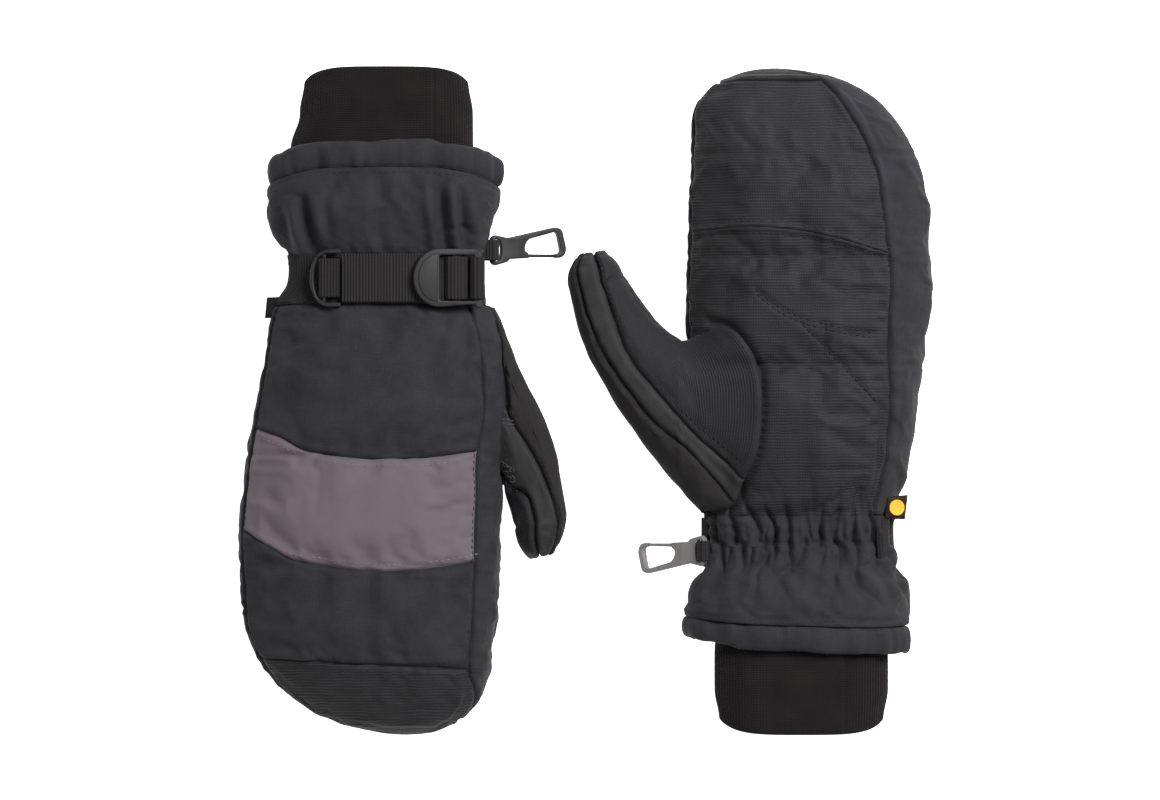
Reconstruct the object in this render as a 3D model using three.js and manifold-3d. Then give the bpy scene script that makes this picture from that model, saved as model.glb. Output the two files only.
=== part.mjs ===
// A pair of insulated winter work mittens with cinched wrists, lying flat on a table.
// Millimetres, +Z up. The right-hand mitten lies back of the hand up with its fingertips towards -Y,
// the left-hand mitten lies palm up with its fingertips towards +Y.
import * as THREE from "three";
import { mergeVertices } from "three/addons/utils/BufferGeometryUtils.js";
import Module from "manifold-3d";

const wasm = await Module();
wasm.setup();

// Each mitten has axes of its own: u across it (thumb side positive), v along it (fingertips positive,
// 0 at the middle of the wrist strap) and w out of the back of the hand.
const MITTENS = {
  right: {
    place: [-105, 61.25, 24.15],
    cuffEnd: -105.5,
    hemEnd: -68,
    hemSeam: -55,
    tip: [20, 228],
    pinkyEdge: [
      [-68, -54.5], [-38, -54], [-25, -52.5], [-13, -45], [13, -45], [35, -55], [75, -62.5], [105, -66.5],
      [130, -68], [165, -66],
    ],
    thumbEdge: [[-68, 63], [-38, 60.5], [-13, 55], [13, 55], [60, 60], [110, 62.5], [165, 61], [186, 58]],
    pinkyRound: 162,
    thumbRound: 186,
    squareness: [2.1, 2.1], // at the little finger side and at the thumb side
    hemDroop: [9, 0], // how far the corners and the thumb side of the hem come towards the fingers
    cuffMiddle: 5.5,
    thumbOuter: [[60.5, 14], [71, 42], [82, 64], [90.5, 87], [96.2, 117]],
    thumbInner: [[64.5, 103], [65.5, 106], [67.5, 111], [69, 117], [70.3, 123.5]],
    thumbTip: [83.5, 139.8],
    clipAt: [58.4, -14.5, 0],
    clipDroop: 30,
  },
  left: {
    place: [112, -69.45, 25.42],
    cuffEnd: -96.5,
    hemEnd: -55,
    hemSeam: -42,
    tip: [20, 236],
    pinkyEdge: [
      [-55, -51], [-35, -50.5], [-22, -49.5], [-13, -45], [13, -44], [35, -50], [75, -55.5], [125, -61],
      [150, -60],
    ],
    thumbEdge: [
      [-55, 62], [-35, 61], [-22, 58], [-13, 51], [13, 50.5], [60, 56], [105, 60], [165, 59.5], [206, 57.5],
    ],
    pinkyRound: 150,
    thumbRound: 206,
    squareness: [2.45, 2.15],
    hemDroop: [3.5, 4],
    cuffMiddle: 3.7,
    thumbOuter: [[55, 14], [79.5, 43], [102.5, 77], [114.3, 101], [120.8, 127.5]],
    thumbInner: [[63.5, 99], [68.5, 103], [78, 110], [86.5, 119.5], [94, 131.5]],
    thumbTip: [109, 144.8],
    clipAt: [52.5, -5.3, -6],
    clipDroop: -41,
  },
};
const HALF_THICKNESS = [[-68, 23], [-55, 23], [-40, 23], [-14, 17], [14, 17], [45, 22.5], [90, 24], [170, 23]];
const THICKNESS_ROUND = 170; // from here to the tip the thickness closes on an ellipse
const LAYER_DRAW_IN = 150; // from here to the tip the inner layers fall short of the shell
const CUFF = { halfWidth: 43, narrow: 40, halfHeight: 18, low: 12.5, wall: 2.2, end: -14 };
const HEM_DROOP = [26, 56]; // the hem's droop starts and is complete this far from the strap
const BULGE = 2.4; // superellipse power of every cross-section
const ANGLE_STEP = 18; // degrees between the lengthwise rows of vertices
const WRIST_SEAM = 12.5;
const SEAM_GAP = 0.5;
const SEAM_GAP_DEG = 0.6;

// Seams across the hand (v) and seams along it (degrees: 0 thumb side, 90 back, 180 pinky, 270 palm).
const PATCH_START = 87;
const PATCH_END = 142.5;
const CAP_SEAM = 190;
const FLEX_SEAM = 152;
const INDEX_SEAM = 38;
const BACK_PINKY_SEAM = 163;
const PALM_PINKY_SEAM = 225;
const PALM_INDEX_SEAM = 351;

// Depths below the outer surface where each layer starts and ends.
const SHELL = [0, 2];
const HEM = [-1.4, 3];
const ELASTIC = [2.5, 3.6];
const INSULATION = [2.5, 6.5];
const LINING = [7, 9];
const STRAP = [-2.1, -0.6];
const LABEL = [-1.7, -0.5];

// Wrist strap: everything above the base webbing lies on a cylinder about an axis along the hand.
const WEB_WIDTH = 24;
const STRAP_RADIUS = 150;
const STRAP_CROWN = 20.1; // height of the underside of the free end at the middle of the wrist
const WEB_THICK = 1.5;
const TAIL = { from: -20.7, to: 40 }; // across the wrist, from its middle
const BUCKLE = { at: 30, lift: 2, thick: 3.2, tab: -16, shoulder: -3, end: 17.8, half: 14.5, rail: 3.2 };
const BUCKLE_PIN = { x: 16.3, z: 1.6, inner: 2.6, outer: 3.8 };
const GRIP = { from: 4, to: 8, thick: 1.6 };
const RING = { at: -21.25, lift: 0.1, thick: 3, reach: 15.5, half: 14.3, arm: 2, bar: [-9, -7.4] };
const CLIP_THICK = 3.2;
const LOOP = { inner: 2.3, outer: 3.4, width: 10.4, leg: 1.6 };
const GATE_PIVOT = [21.6, 2.4];

// Depth, width and height of the side door that the thumb opens into.
const THUMB_DOOR = { u: [38, 90], v: [18, 98], w: [-17, 2] };

const FABRICS = {
  shell: [0x37373a, 0.78],
  palm: [0x2d2d30, 0.6],
  knit: [0x231f1f, 0.95],
  patch: [0x6a6266, 0.82],
  thumb_back: [0x262220, 0.85],
  thumb_side: [0x373537, 0.75],
  filling: [0xb9b6ae, 0.95],
  lining: [0x2b2b2d, 0.95],
  elastic: [0x1f1f20, 0.9],
  webbing: [0x2d2b2b, 0.85],
  plastic: [0x424244, 0.4],
  clip_right: [0x2a2a2a, 0.45],
  clip_left: [0x737070, 0.45],
  label: [0x23160c, 0.7],
};

const radians = THREE.MathUtils.degToRad;

function finish(fabric) {
  const [color, roughness] = FABRICS[fabric];
  return new THREE.MeshStandardMaterial({ color, roughness, metalness: 0 });
}

// A smooth curve through [position, value] points, read at a position.
function smoothAt(points, position) {
  const last = points.length - 1;
  if (position <= points[0][0]) return points[0][1];
  if (position >= points[last][0]) return points[last][1];
  const next = points.findIndex((point) => point[0] > position);
  const slope = (index) => {
    const before = points[Math.max(index - 1, 0)];
    const after = points[Math.min(index + 1, last)];
    return (after[1] - before[1]) / (after[0] - before[0]);
  };
  const [start, end] = [points[next - 1], points[next]];
  const span = end[0] - start[0];
  const t = (position - start[0]) / span;
  const rise = end[1] - start[1];
  const bend = (slope(next - 1) * span - rise) * (1 - t) - (slope(next) * span - rise) * t;
  return start[1] + t * rise + t * (1 - t) * bend;
}

// 1 up to the position where rounding starts, then falling to 0 at the tip as an ellipse does, or as a
// squarer curve with a power above 2.
function closing(from, tip, position, power = 2) {
  const along = THREE.MathUtils.clamp((position - from) / (tip - from), 0, 1);
  return Math.pow(1 - Math.pow(along, power), 1 / power);
}

function bulge(value) {
  return Math.sign(value) * Math.pow(Math.abs(value), 2 / BULGE);
}

// A skin is a surface given by point(along, angle, depth), held on a lattice of rows and angles so that
// every layer has the same flat facets and no layer cuts another.
class Skin {
  constructor(rows, point) {
    this.rows = rows;
    this.point = point;
  }

  at(along, angle, depth) {
    const last = this.rows.length - 2;
    const row = Math.min(Math.max(this.rows.findIndex((value) => value > along) - 1, 0), last);
    const index = along >= this.rows[last + 1] ? last : row;
    const [low, high] = [this.rows[index], this.rows[index + 1]];
    const half = ANGLE_STEP / 2;
    const start = Math.floor((angle - half) / ANGLE_STEP) * ANGLE_STEP + half;
    const across = (angle - start) / ANGLE_STEP;
    const edge = (value) => {
      const first = this.point(value, radians(start), depth);
      return first.lerp(this.point(value, radians(start + ANGLE_STEP), depth), across);
    };
    return edge(low).lerp(edge(high), (along - low) / (high - low));
  }
}

function between(values, low, high) {
  return [low, ...values.filter((value) => value > low + 1e-6 && value < high - 1e-6), high];
}

function quad(a, b, c, d) {
  return [a, b, c, a, c, d];
}

// A closed sheet of cloth or foam: the part of a skin between two rows, two angles and two depths.
function sheet(skin, along, angles, depths) {
  const rows = between(skin.rows, along[0], along[1]);
  const isRing = angles[1] - angles[0] >= 360;
  const lattice = [];
  for (let angle = ANGLE_STEP / 2 - 360; angle < 720; angle += ANGLE_STEP) lattice.push(angle);
  const turns = between(lattice, angles[0], angles[1]);
  const [outer, inner] = depths.map((depth) => rows.map((row) => turns.map((turn) => skin.at(row, turn, depth))));
  const corners = [];
  const end = rows.length - 1;
  for (let row = 0; row < end; row += 1) {
    for (let turn = 0; turn < turns.length - 1; turn += 1) {
      const outside = outer[row + 1];
      const inside = inner[row + 1];
      corners.push(...quad(outer[row][turn], outside[turn], outside[turn + 1], outer[row][turn + 1]));
      corners.push(...quad(inner[row][turn], inner[row][turn + 1], inside[turn + 1], inside[turn]));
    }
    if (isRing) continue;
    const side = turns.length - 1;
    corners.push(...quad(outer[row][0], inner[row][0], inner[row + 1][0], outer[row + 1][0]));
    corners.push(...quad(outer[row][side], outer[row + 1][side], inner[row + 1][side], inner[row][side]));
  }
  for (let turn = 0; turn < turns.length - 1; turn += 1) {
    corners.push(...quad(outer[0][turn], outer[0][turn + 1], inner[0][turn + 1], inner[0][turn]));
    corners.push(...quad(outer[end][turn], inner[end][turn], inner[end][turn + 1], outer[end][turn + 1]));
  }
  return welded(corners);
}

// One closed geometry from a list of triangle corners, without the triangles that have shrunk to a line.
function welded(corners) {
  const loose = new THREE.BufferGeometry().setFromPoints(corners);
  const merged = mergeVertices(loose, 1e-3);
  const index = merged.index.array;
  const kept = [];
  for (let i = 0; i < index.length; i += 3) {
    const [a, b, c] = [index[i], index[i + 1], index[i + 2]];
    if (a !== b && b !== c && c !== a) kept.push(a, b, c);
  }
  merged.setIndex(kept);
  return merged;
}

function solid(geometry) {
  const bare = geometry.clone();
  bare.deleteAttribute("normal");
  bare.deleteAttribute("uv");
  const merged = mergeVertices(bare, 1e-3);
  return new wasm.Manifold(
    new wasm.Mesh({
      numProp: 3,
      vertProperties: new Float32Array(merged.attributes.position.array),
      triVerts: new Uint32Array(merged.index.array),
    }),
  );
}

function geometryOf(manifold) {
  const mesh = manifold.getMesh();
  const geometry = new THREE.BufferGeometry();
  geometry.setAttribute("position", new THREE.BufferAttribute(mesh.vertProperties, 3));
  geometry.setIndex(new THREE.BufferAttribute(mesh.triVerts, 1));
  return geometry;
}

function cut(geometry, ...tools) {
  return geometryOf(tools.reduce((left, tool) => left.subtract(solid(tool)), solid(geometry)));
}

function joined(...geometries) {
  return geometryOf(geometries.map(solid).reduce((sum, next) => sum.add(next)));
}

function block(u, v, w) {
  const size = [u, v, w].map(([low, high]) => high - low);
  const middle = [u, v, w].map(([low, high]) => (low + high) / 2);
  return new THREE.BoxGeometry(...size).translate(...middle);
}

// A flat outline in u and w, drawn out along v to a width, centred on v = 0.
function drawnAcross(shape, width, curveSegments = 6) {
  const geometry = new THREE.ExtrudeGeometry(shape, { depth: width, bevelEnabled: false, curveSegments });
  return geometry.translate(0, 0, -width / 2).rotateX(Math.PI / 2);
}

// A flat outline in u and v, raised by a thickness from w = 0.
function raised(shape, thickness, curveSegments = 6) {
  return new THREE.ExtrudeGeometry(shape, { depth: thickness, bevelEnabled: false, curveSegments });
}

function outline(points) {
  return new THREE.Shape(points.map(([x, y]) => new THREE.Vector2(x, y)));
}

// ---- Skins ----

function handSkin(form) {
  const [tipU, tipV] = form.tip;
  const [pinkyPower, thumbPower] = form.squareness;
  const [corners, tilt] = form.hemDroop;
  const rows = [form.hemEnd, form.hemSeam, -30, -14, 14, 45, 100, 150, 175, 197, 213, tipV - 5, tipV];
  return new Skin(rows, (v, angle, depth) => {
    const pinkyClose = closing(form.pinkyRound, tipV, v, pinkyPower);
    const thumbClose = closing(form.thumbRound, tipV, v, thumbPower);
    const pinky = tipU + (smoothAt(form.pinkyEdge, v) + depth - tipU) * pinkyClose;
    const thumb = tipU + (smoothAt(form.thumbEdge, v) - depth - tipU) * thumbClose;
    const height = (smoothAt(HALF_THICKNESS, v) - depth) * closing(THICKNESS_ROUND, tipV, v);
    const drawIn = THREE.MathUtils.clamp((v - LAYER_DRAW_IN) / (tipV - LAYER_DRAW_IN), 0, 1);
    const droop = corners * Math.pow(Math.abs(Math.cos(angle)), 3.4) + tilt * Math.cos(angle);
    return new THREE.Vector3(
      (pinky + thumb) / 2 + bulge(Math.cos(angle)) * (thumb - pinky) / 2,
      v - depth * drawIn + droop * THREE.MathUtils.smoothstep(-v, ...HEM_DROOP),
      bulge(Math.sin(angle)) * height,
    );
  });
}

function cuffSkin(form) {
  return new Skin([form.cuffEnd, form.cuffEnd + 6, -60, -30, CUFF.end], (v, angle, depth) => {
    const taper = THREE.MathUtils.smoothstep(v, -60, CUFF.end);
    const lip = v <= form.cuffEnd ? 2.5 : 0;
    const width = THREE.MathUtils.lerp(CUFF.halfWidth, CUFF.narrow, taper) - lip - depth;
    const height = THREE.MathUtils.lerp(CUFF.halfHeight, CUFF.low, taper) - lip - depth;
    return new THREE.Vector3(
      form.cuffMiddle + bulge(Math.cos(angle)) * width,
      v,
      bulge(Math.sin(angle)) * height,
    );
  });
}

// The thumb's sections join its outer edge to its inner edge. Angles: 0 towards the fingers, 90 palm
// side, 180 outer edge, 270 back of the hand. Past 1 the thumb closes to its tip at 2.
function thumbSkin(form) {
  const curve = (points) => new THREE.CatmullRomCurve3(points.map(([u, v]) => new THREE.Vector3(u, v, 0)));
  const outerEdge = curve(form.thumbOuter);
  const innerEdge = curve(form.thumbInner);
  const tip = new THREE.Vector3(...form.thumbTip, 0);
  return new Skin([0, 0.25, 0.5, 0.75, 1, 1.5, 1.85, 2], (along, angle, depth) => {
    const along01 = Math.min(along, 1);
    const close = closing(1, 2, along);
    const outer = outerEdge.getPoint(along01);
    const inner = innerEdge.getPoint(along01);
    const middle = outer.clone().lerp(inner, 0.5);
    const across = inner.clone().sub(outer).multiplyScalar(0.5);
    across.setLength((across.length() - depth) * close);
    if (along > 1) {
      const forward = tip.clone().sub(middle);
      middle.addScaledVector(forward, (along - 1) * (1 - depth / forward.length()));
    }
    const height = (THREE.MathUtils.lerp(18, 14, along01) - depth) * close;
    middle.addScaledVector(across, bulge(Math.cos(angle)));
    middle.z = -3 * (1 - along01) - bulge(Math.sin(angle)) * height;
    return middle;
  });
}

// ---- Wrist hardware ----

// A frame on the strap's cylinder, `across` the wrist from its middle and `lift` above the base radius.
function strapFrame(middle, across, lift) {
  const radius = STRAP_RADIUS + lift;
  const lean = Math.asin(across / radius);
  const frame = new THREE.Group();
  frame.position.set(middle + across, 0, STRAP_CROWN - STRAP_RADIUS + radius * Math.cos(lean));
  frame.rotation.y = lean;
  return frame;
}

function strapTail(middle) {
  const low = Math.PI / 2 - Math.asin(TAIL.to / STRAP_RADIUS);
  const high = Math.PI / 2 - Math.asin(TAIL.from / STRAP_RADIUS);
  const shape = new THREE.Shape();
  shape.absarc(0, 0, STRAP_RADIUS + WEB_THICK, low, high, false);
  shape.absarc(0, 0, STRAP_RADIUS, high, low, true);
  return drawnAcross(shape, WEB_WIDTH, 8).translate(middle, 0, STRAP_CROWN - STRAP_RADIUS);
}

function buckleBody() {
  const { tab, shoulder, end, half, rail, thick } = BUCKLE;
  const shape = new THREE.Shape();
  shape.moveTo(end, -half);
  shape.lineTo(end, half);
  shape.lineTo(shoulder, half);
  shape.absellipse(shoulder, 0, shoulder - tab, half, Math.PI / 2, Math.PI * 1.5, false);
  shape.closePath();
  const window = block([shoulder + 0.2, end - 3], [rail - half, half - rail], [-1, thick + 1]);
  const grip = block([GRIP.from, GRIP.to], [rail - half - 0.5, half - rail + 0.5], [0, GRIP.thick]);
  return joined(cut(raised(shape, thick, 8), window), grip);
}

// The webbing where it passes over the buckle's grip bar.
function threadedWeb() {
  const arch = (from, to, top) => {
    const shape = new THREE.Shape();
    shape.moveTo(from, 0);
    shape.lineTo(to, 0);
    shape.bezierCurveTo(to, top * 1.33, from, top * 1.33, from, 0);
    return shape;
  };
  const width = WEB_WIDTH - 2;
  const over = drawnAcross(arch(0.7, 11.4, 3.6), width - 0.4, 5);
  return cut(over, drawnAcross(arch(2.1, 10, 2.5), width + 2, 5));
}

// The short webbing that ties the buckle's end bar to the side seam.
function buckleAnchor() {
  const { inner, outer } = BUCKLE_PIN;
  const ring = new THREE.Shape().absarc(0, 0, outer, 0, Math.PI * 2, false);
  ring.holes.push(new THREE.Path().absarc(0, 0, inner, 0, Math.PI * 2, true));
  const leg = outline([[1.6, -4.6], [3.4, -4.6], [3.4, 1], [2.9, 1]]);
  return joined(drawnAcross(ring, WEB_WIDTH - 2.8, 7), drawnAcross(leg, WEB_WIDTH - 2.8));
}

function pullRing() {
  const { reach, half, arm, bar, thick } = RING;
  const shoulder = bar[1] + 1.4;
  const shape = new THREE.Shape();
  shape.moveTo(0, -half);
  shape.lineTo(0, arm - half);
  shape.lineTo(bar[1], arm - half);
  shape.lineTo(bar[1], half - arm);
  shape.lineTo(0, half - arm);
  shape.lineTo(0, half);
  shape.lineTo(shoulder, half);
  shape.absellipse(shoulder, 0, reach + shoulder, half, Math.PI / 2, Math.PI * 1.5, false);
  const window = new THREE.Path();
  window.absellipse(bar[0], 0, reach + bar[0] - 2, half - 3.2, Math.PI / 2, Math.PI * 1.5, false);
  window.closePath();
  shape.holes.push(window);
  const reachable = half - arm - 0.2;
  const below = block([bar[0] - 0.6, bar[1] + 0.6], [-reachable, reachable], [-1, 1.2]);
  const above = block([bar[0] - 0.6, bar[1] + 0.6], [-reachable, reachable], [2.4, thick + 1]);
  return cut(raised(shape, thick, 8), below, above);
}

// The end of the webbing, folded round the pull ring's bar and sewn flat.
function pullFold() {
  const width = WEB_WIDTH - 4.6;
  const folded = outline([[-0.4, 0], [-0.4, 3.6], [-9.6, 3.6], [-10.6, 2.7], [-10.6, 0.9], [-9.6, 0]]);
  return cut(drawnAcross(folded, width), block([-9.4, -2.5], [-width, width], [0.9, 2.7]));
}

// ---- Hanging clip ----

function clipHook() {
  const eye = new THREE.Shape();
  eye.moveTo(1.5, -7.6);
  eye.lineTo(9, -6.4);
  eye.lineTo(9, 5.6);
  eye.lineTo(1.5, 7.6);
  eye.quadraticCurveTo(-1.1, 7, -1.1, 4);
  eye.lineTo(-1.1, -4);
  eye.quadraticCurveTo(-1.1, -7, 1.5, -7.6);
  eye.holes.push(new THREE.Path([[1.1, -5.7], [1.1, 5.7], [3.7, 5.6], [4.8, 0], [3.7, -5.6]]
    .map(([x, y]) => new THREE.Vector2(x, y))));
  const body = new THREE.Shape();
  body.moveTo(5.6, -5.6);
  body.lineTo(35.3, -12.2);
  body.quadraticCurveTo(39.6, -12.4, 40.3, -9.4);
  body.lineTo(42.2, -1.9);
  body.quadraticCurveTo(42, 3.2, 37.5, 3.2);
  body.lineTo(35.9, 3.2);
  body.lineTo(35.9, 1.3);
  body.lineTo(37.6, 1.1);
  body.quadraticCurveTo(39.4, 0.4, 39, -1.3);
  body.lineTo(37.4, -8.2);
  body.quadraticCurveTo(36.6, -10.2, 34.6, -9.6);
  body.lineTo(21, -6);
  body.quadraticCurveTo(17.6, -3.6, 18.4, 0);
  body.lineTo(20.3, 1.2);
  body.lineTo(20.3, 3.7);
  body.lineTo(5.6, 4.7);
  return joined(raised(eye, CLIP_THICK, 3), raised(body, CLIP_THICK, 3)).translate(0, 0, -CLIP_THICK / 2);
}

function clipGate() {
  const [u, v] = GATE_PIVOT;
  const shape = outline([[u - 0.7, v - 0.8], [35.4, 1.5], [35.4, 3], [u - 0.7, v + 0.9]]);
  return raised(shape, CLIP_THICK - 0.8).translate(0, 0, 0.4 - CLIP_THICK / 2);
}

// The folded webbing tab that holds the clip's eye against the side seam.
function clipLoop() {
  const { inner, outer, width, leg } = LOOP;
  const shape = new THREE.Shape();
  shape.moveTo(-leg, outer);
  shape.lineTo(-leg, inner);
  shape.lineTo(0, inner);
  shape.absarc(0, 0, inner, Math.PI / 2, -Math.PI / 2, true);
  shape.lineTo(-leg, -inner);
  shape.lineTo(-leg, -outer);
  shape.lineTo(0, -outer);
  shape.absarc(0, 0, outer, -Math.PI / 2, Math.PI / 2, false);
  return drawnAcross(shape, width, 6);
}

// ---- One mitten ----

function mitten(side, form) {
  const group = new THREE.Group();
  group.position.set(...form.place);
  if (side === "right") group.scale.set(1, -1, 1);
  else group.rotation.y = Math.PI;

  const add = (name, fabric, geometry, parent = group) => {
    const mesh = new THREE.Mesh(geometry, finish(fabric));
    mesh.name = `${side}_${name}`;
    parent.add(mesh);
  };
  const hand = handSkin(form);
  const thumb = thumbSkin(form);
  const tipV = form.tip[1];
  const half = SEAM_GAP / 2;
  const turn = SEAM_GAP_DEG / 2;
  const panel = (skin, along, angles, depths = SHELL) =>
    sheet(skin, [along[0] + half, along[1]], [angles[0] + turn, angles[1] - turn], depths);
  const ring = (skin, along, depths) => sheet(skin, along, [9, 369], depths);
  const door = block(THUMB_DOOR.u, THUMB_DOOR.v, THUMB_DOOR.w);

  const back = [INDEX_SEAM, BACK_PINKY_SEAM];
  const palm = [PALM_PINKY_SEAM, PALM_INDEX_SEAM];
  add("back_panel", "shell", panel(hand, [WRIST_SEAM, PATCH_START - half], back));
  add("knuckle_patch", "patch", panel(hand, [PATCH_START, PATCH_END - half], back));
  add("finger_back_panel", "shell", panel(hand, [PATCH_END, CAP_SEAM - half], back));
  add("fingertip_cap", "palm", panel(hand, [CAP_SEAM, tipV], back));
  add("index_side_gusset", "shell", cut(panel(hand, [WRIST_SEAM, tipV], [PALM_INDEX_SEAM - 360, INDEX_SEAM]), door));
  add("pinky_side_gusset", "shell", panel(hand, [WRIST_SEAM, tipV], [BACK_PINKY_SEAM, PALM_PINKY_SEAM]));
  add("palm_panel", "palm", cut(panel(hand, [WRIST_SEAM, FLEX_SEAM - half], palm), door));
  add("palm_finger_panel", "palm", panel(hand, [FLEX_SEAM, tipV], palm));
  add("insulation", "filling", cut(ring(hand, [WRIST_SEAM, tipV], INSULATION), door));
  add("lining", "lining", cut(ring(hand, [CUFF.end + SEAM_GAP, tipV], LINING), door));

  add("knit_cuff", "knit", ring(cuffSkin(form), [form.cuffEnd, CUFF.end], [0, CUFF.wall]));
  add("gauntlet", "shell", ring(hand, [form.hemSeam + half, WRIST_SEAM - half], SHELL));
  add("gauntlet_hem", "shell", ring(hand, [form.hemEnd, form.hemSeam - half], HEM));
  add("wrist_elastic", "elastic", sheet(hand, [-10, 10], [200, 340], ELASTIC));
  add("side_label", "label", sheet(hand, [13, 24], [190, 222], LABEL));

  const strips = { pad_panel: [-84, 93, "palm"], palm_gusset: [93, 134, "thumb_side"] };
  Object.assign(strips, { back_panel: [134, 225, "thumb_back"], back_gusset: [225, 276, "thumb_side"] });
  for (const [name, [start, end, fabric]] of Object.entries(strips))
    add(`thumb_${name}`, fabric, sheet(thumb, [0, 2], [start + 1, end - 1], SHELL));
  add("thumb_lining", "lining", ring(thumb, [0, 2], [2.5, 5]));

  const middle = (smoothAt(form.pinkyEdge, 0) + smoothAt(form.thumbEdge, 0)) / 2;
  add("strap_base", "webbing", sheet(hand, [-WEB_WIDTH / 2, WEB_WIDTH / 2], [14, 204], STRAP));
  add("strap_tail", "webbing", strapTail(middle));

  const buckle = strapFrame(middle, BUCKLE.at, BUCKLE.lift);
  group.add(buckle);
  add("buckle", "plastic", buckleBody(), buckle);
  add("threaded_web", "webbing", threadedWeb(), buckle);
  add("buckle_anchor", "webbing", buckleAnchor().translate(BUCKLE_PIN.x, 0, BUCKLE_PIN.z), buckle);

  const pull = strapFrame(middle, RING.at, RING.lift);
  group.add(pull);
  add("pull_ring", "plastic", pullRing(), pull);
  add("pull_fold", "webbing", pullFold(), pull);

  const clip = new THREE.Group();
  clip.position.set(...form.clipAt);
  group.add(clip);
  add("clip_loop", "webbing", clipLoop(), clip);
  const hook = new THREE.Group();
  hook.rotation.y = radians(form.clipDroop);
  clip.add(hook);
  add("clip_hook", `clip_${side}`, clipHook(), hook);
  add("clip_gate", `clip_${side}`, clipGate(), hook);
  return group;
}

const pair = new THREE.Group();
for (const [side, form] of Object.entries(MITTENS)) pair.add(mitten(side, form));

export default pair;
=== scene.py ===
import math

import bmesh
import bpy
import numpy as np
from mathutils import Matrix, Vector


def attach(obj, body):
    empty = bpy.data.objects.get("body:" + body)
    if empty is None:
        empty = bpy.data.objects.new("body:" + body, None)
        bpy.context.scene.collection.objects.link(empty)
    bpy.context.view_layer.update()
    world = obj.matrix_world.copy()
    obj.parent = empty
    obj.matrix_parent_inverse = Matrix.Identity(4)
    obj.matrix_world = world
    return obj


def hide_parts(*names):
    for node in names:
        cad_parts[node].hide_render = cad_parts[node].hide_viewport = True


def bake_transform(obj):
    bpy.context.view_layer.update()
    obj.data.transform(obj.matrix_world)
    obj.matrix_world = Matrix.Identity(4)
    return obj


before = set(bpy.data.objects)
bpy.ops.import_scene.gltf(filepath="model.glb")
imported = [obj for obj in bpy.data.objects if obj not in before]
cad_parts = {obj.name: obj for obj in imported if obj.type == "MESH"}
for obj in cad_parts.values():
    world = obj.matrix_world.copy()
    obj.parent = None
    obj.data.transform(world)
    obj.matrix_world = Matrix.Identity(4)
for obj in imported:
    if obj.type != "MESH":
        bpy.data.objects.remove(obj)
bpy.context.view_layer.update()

# A pair of insulated work mittens lying flat. Each mitten has axes of its own, in millimetres: u across
# it (thumb side positive), v along it (fingertips positive, 0 at the middle of the wrist strap) and w out
# of the back of the hand. Angles go round the hand in degrees: 0 thumb side, 90 back, 180 little finger
# side, 270 palm. The right-hand mitten lies back up, the left-hand mitten palm up.
MM = 0.001
FORMS = {
    "right": {
        "place": (-105, 61.25, 24.15),
        "turn": (1, -1, 1),
        "cuff_end": -105.5,
        "hem_end": -68,
        "hem_seam": -55,
        "tip": (20, 228),
        "pinky_edge": [(-68, -54.5), (-38, -54), (-25, -52.5), (-13, -45), (2, -44.5), (12, -50.5),
                       (22, -53), (35, -55), (75, -62.5), (105, -66.5), (130, -68), (165, -66)],
        "thumb_edge": [(-68, 63), (-38, 60.5), (-13, 55), (10, 55), (21, 60), (35, 63.5), (62, 65.5),
                       (75, 64.5), (90, 62.5), (110, 62.5), (165, 61), (186, 58)],
        "pinky_round": 162,
        "thumb_round": 186,
        "squareness": (2.1, 2.1),
        "hem_droop": (9, 0),
        "cuff_middle": 5.5,
        "thumb_outer": [(60.5, 14), (71, 42), (82, 64), (90.5, 87), (96.2, 117)],
        "thumb_inner": [(64.5, 103), (65.5, 106), (67.5, 111), (69, 117), (70.3, 123.5)],
        "thumb_tip": (83.5, 139.8),
        "thenar": [(0, 52, 109), (18, 44, 106), (36, 35.5, 97), (54, 28, 83), (72, 25, 66), (84, 28.5, 42),
                   (93, 34.5, 30), (107, 40, 18.5), (140, 50, 15), (180, 58, 14)],
        "clip_at": (58.4, -14.5, 0),
        "clip_droop": 30,
    },
    "left": {
        "place": (112, -69.45, 25.42),
        "turn": (-1, 1, -1),
        "cuff_end": -96.5,
        "hem_end": -55,
        "hem_seam": -42,
        "tip": (20, 236),
        "pinky_edge": [(-55, -51), (-35, -50.5), (-22, -49.5), (-13, -45), (13, -44), (35, -50), (75, -55.5),
                       (125, -61), (150, -60)],
        "thumb_edge": [(-55, 62), (-35, 61), (-22, 58), (-13, 51), (13, 50.5), (60, 56), (105, 60),
                       (165, 59.5), (206, 57.5)],
        "pinky_round": 150,
        "thumb_round": 206,
        "squareness": (2.45, 2.15),
        "hem_droop": (3.5, 4),
        "cuff_middle": 3.7,
        "thumb_outer": [(55, 14), (79.5, 43), (102.5, 77), (114.3, 101), (120.8, 127.5)],
        "thumb_inner": [(63.5, 99), (68.5, 103), (77.5, 110), (85, 119.2), (92.8, 131.2)],
        "thumb_tip": (109, 144.8),
        "thenar": [(0, 50, 109), (18, 40, 106), (36, 32, 97.5), (54, 26, 84), (72, 24.5, 64), (84, 27.5, 42),
                   (93, 33.5, 30), (107, 38.5, 18.5), (140, 46, 15), (180, 54, 14)],
        "clip_at": (52.5, -5.3, -6),
        "clip_droop": -41,
    },
}
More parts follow.
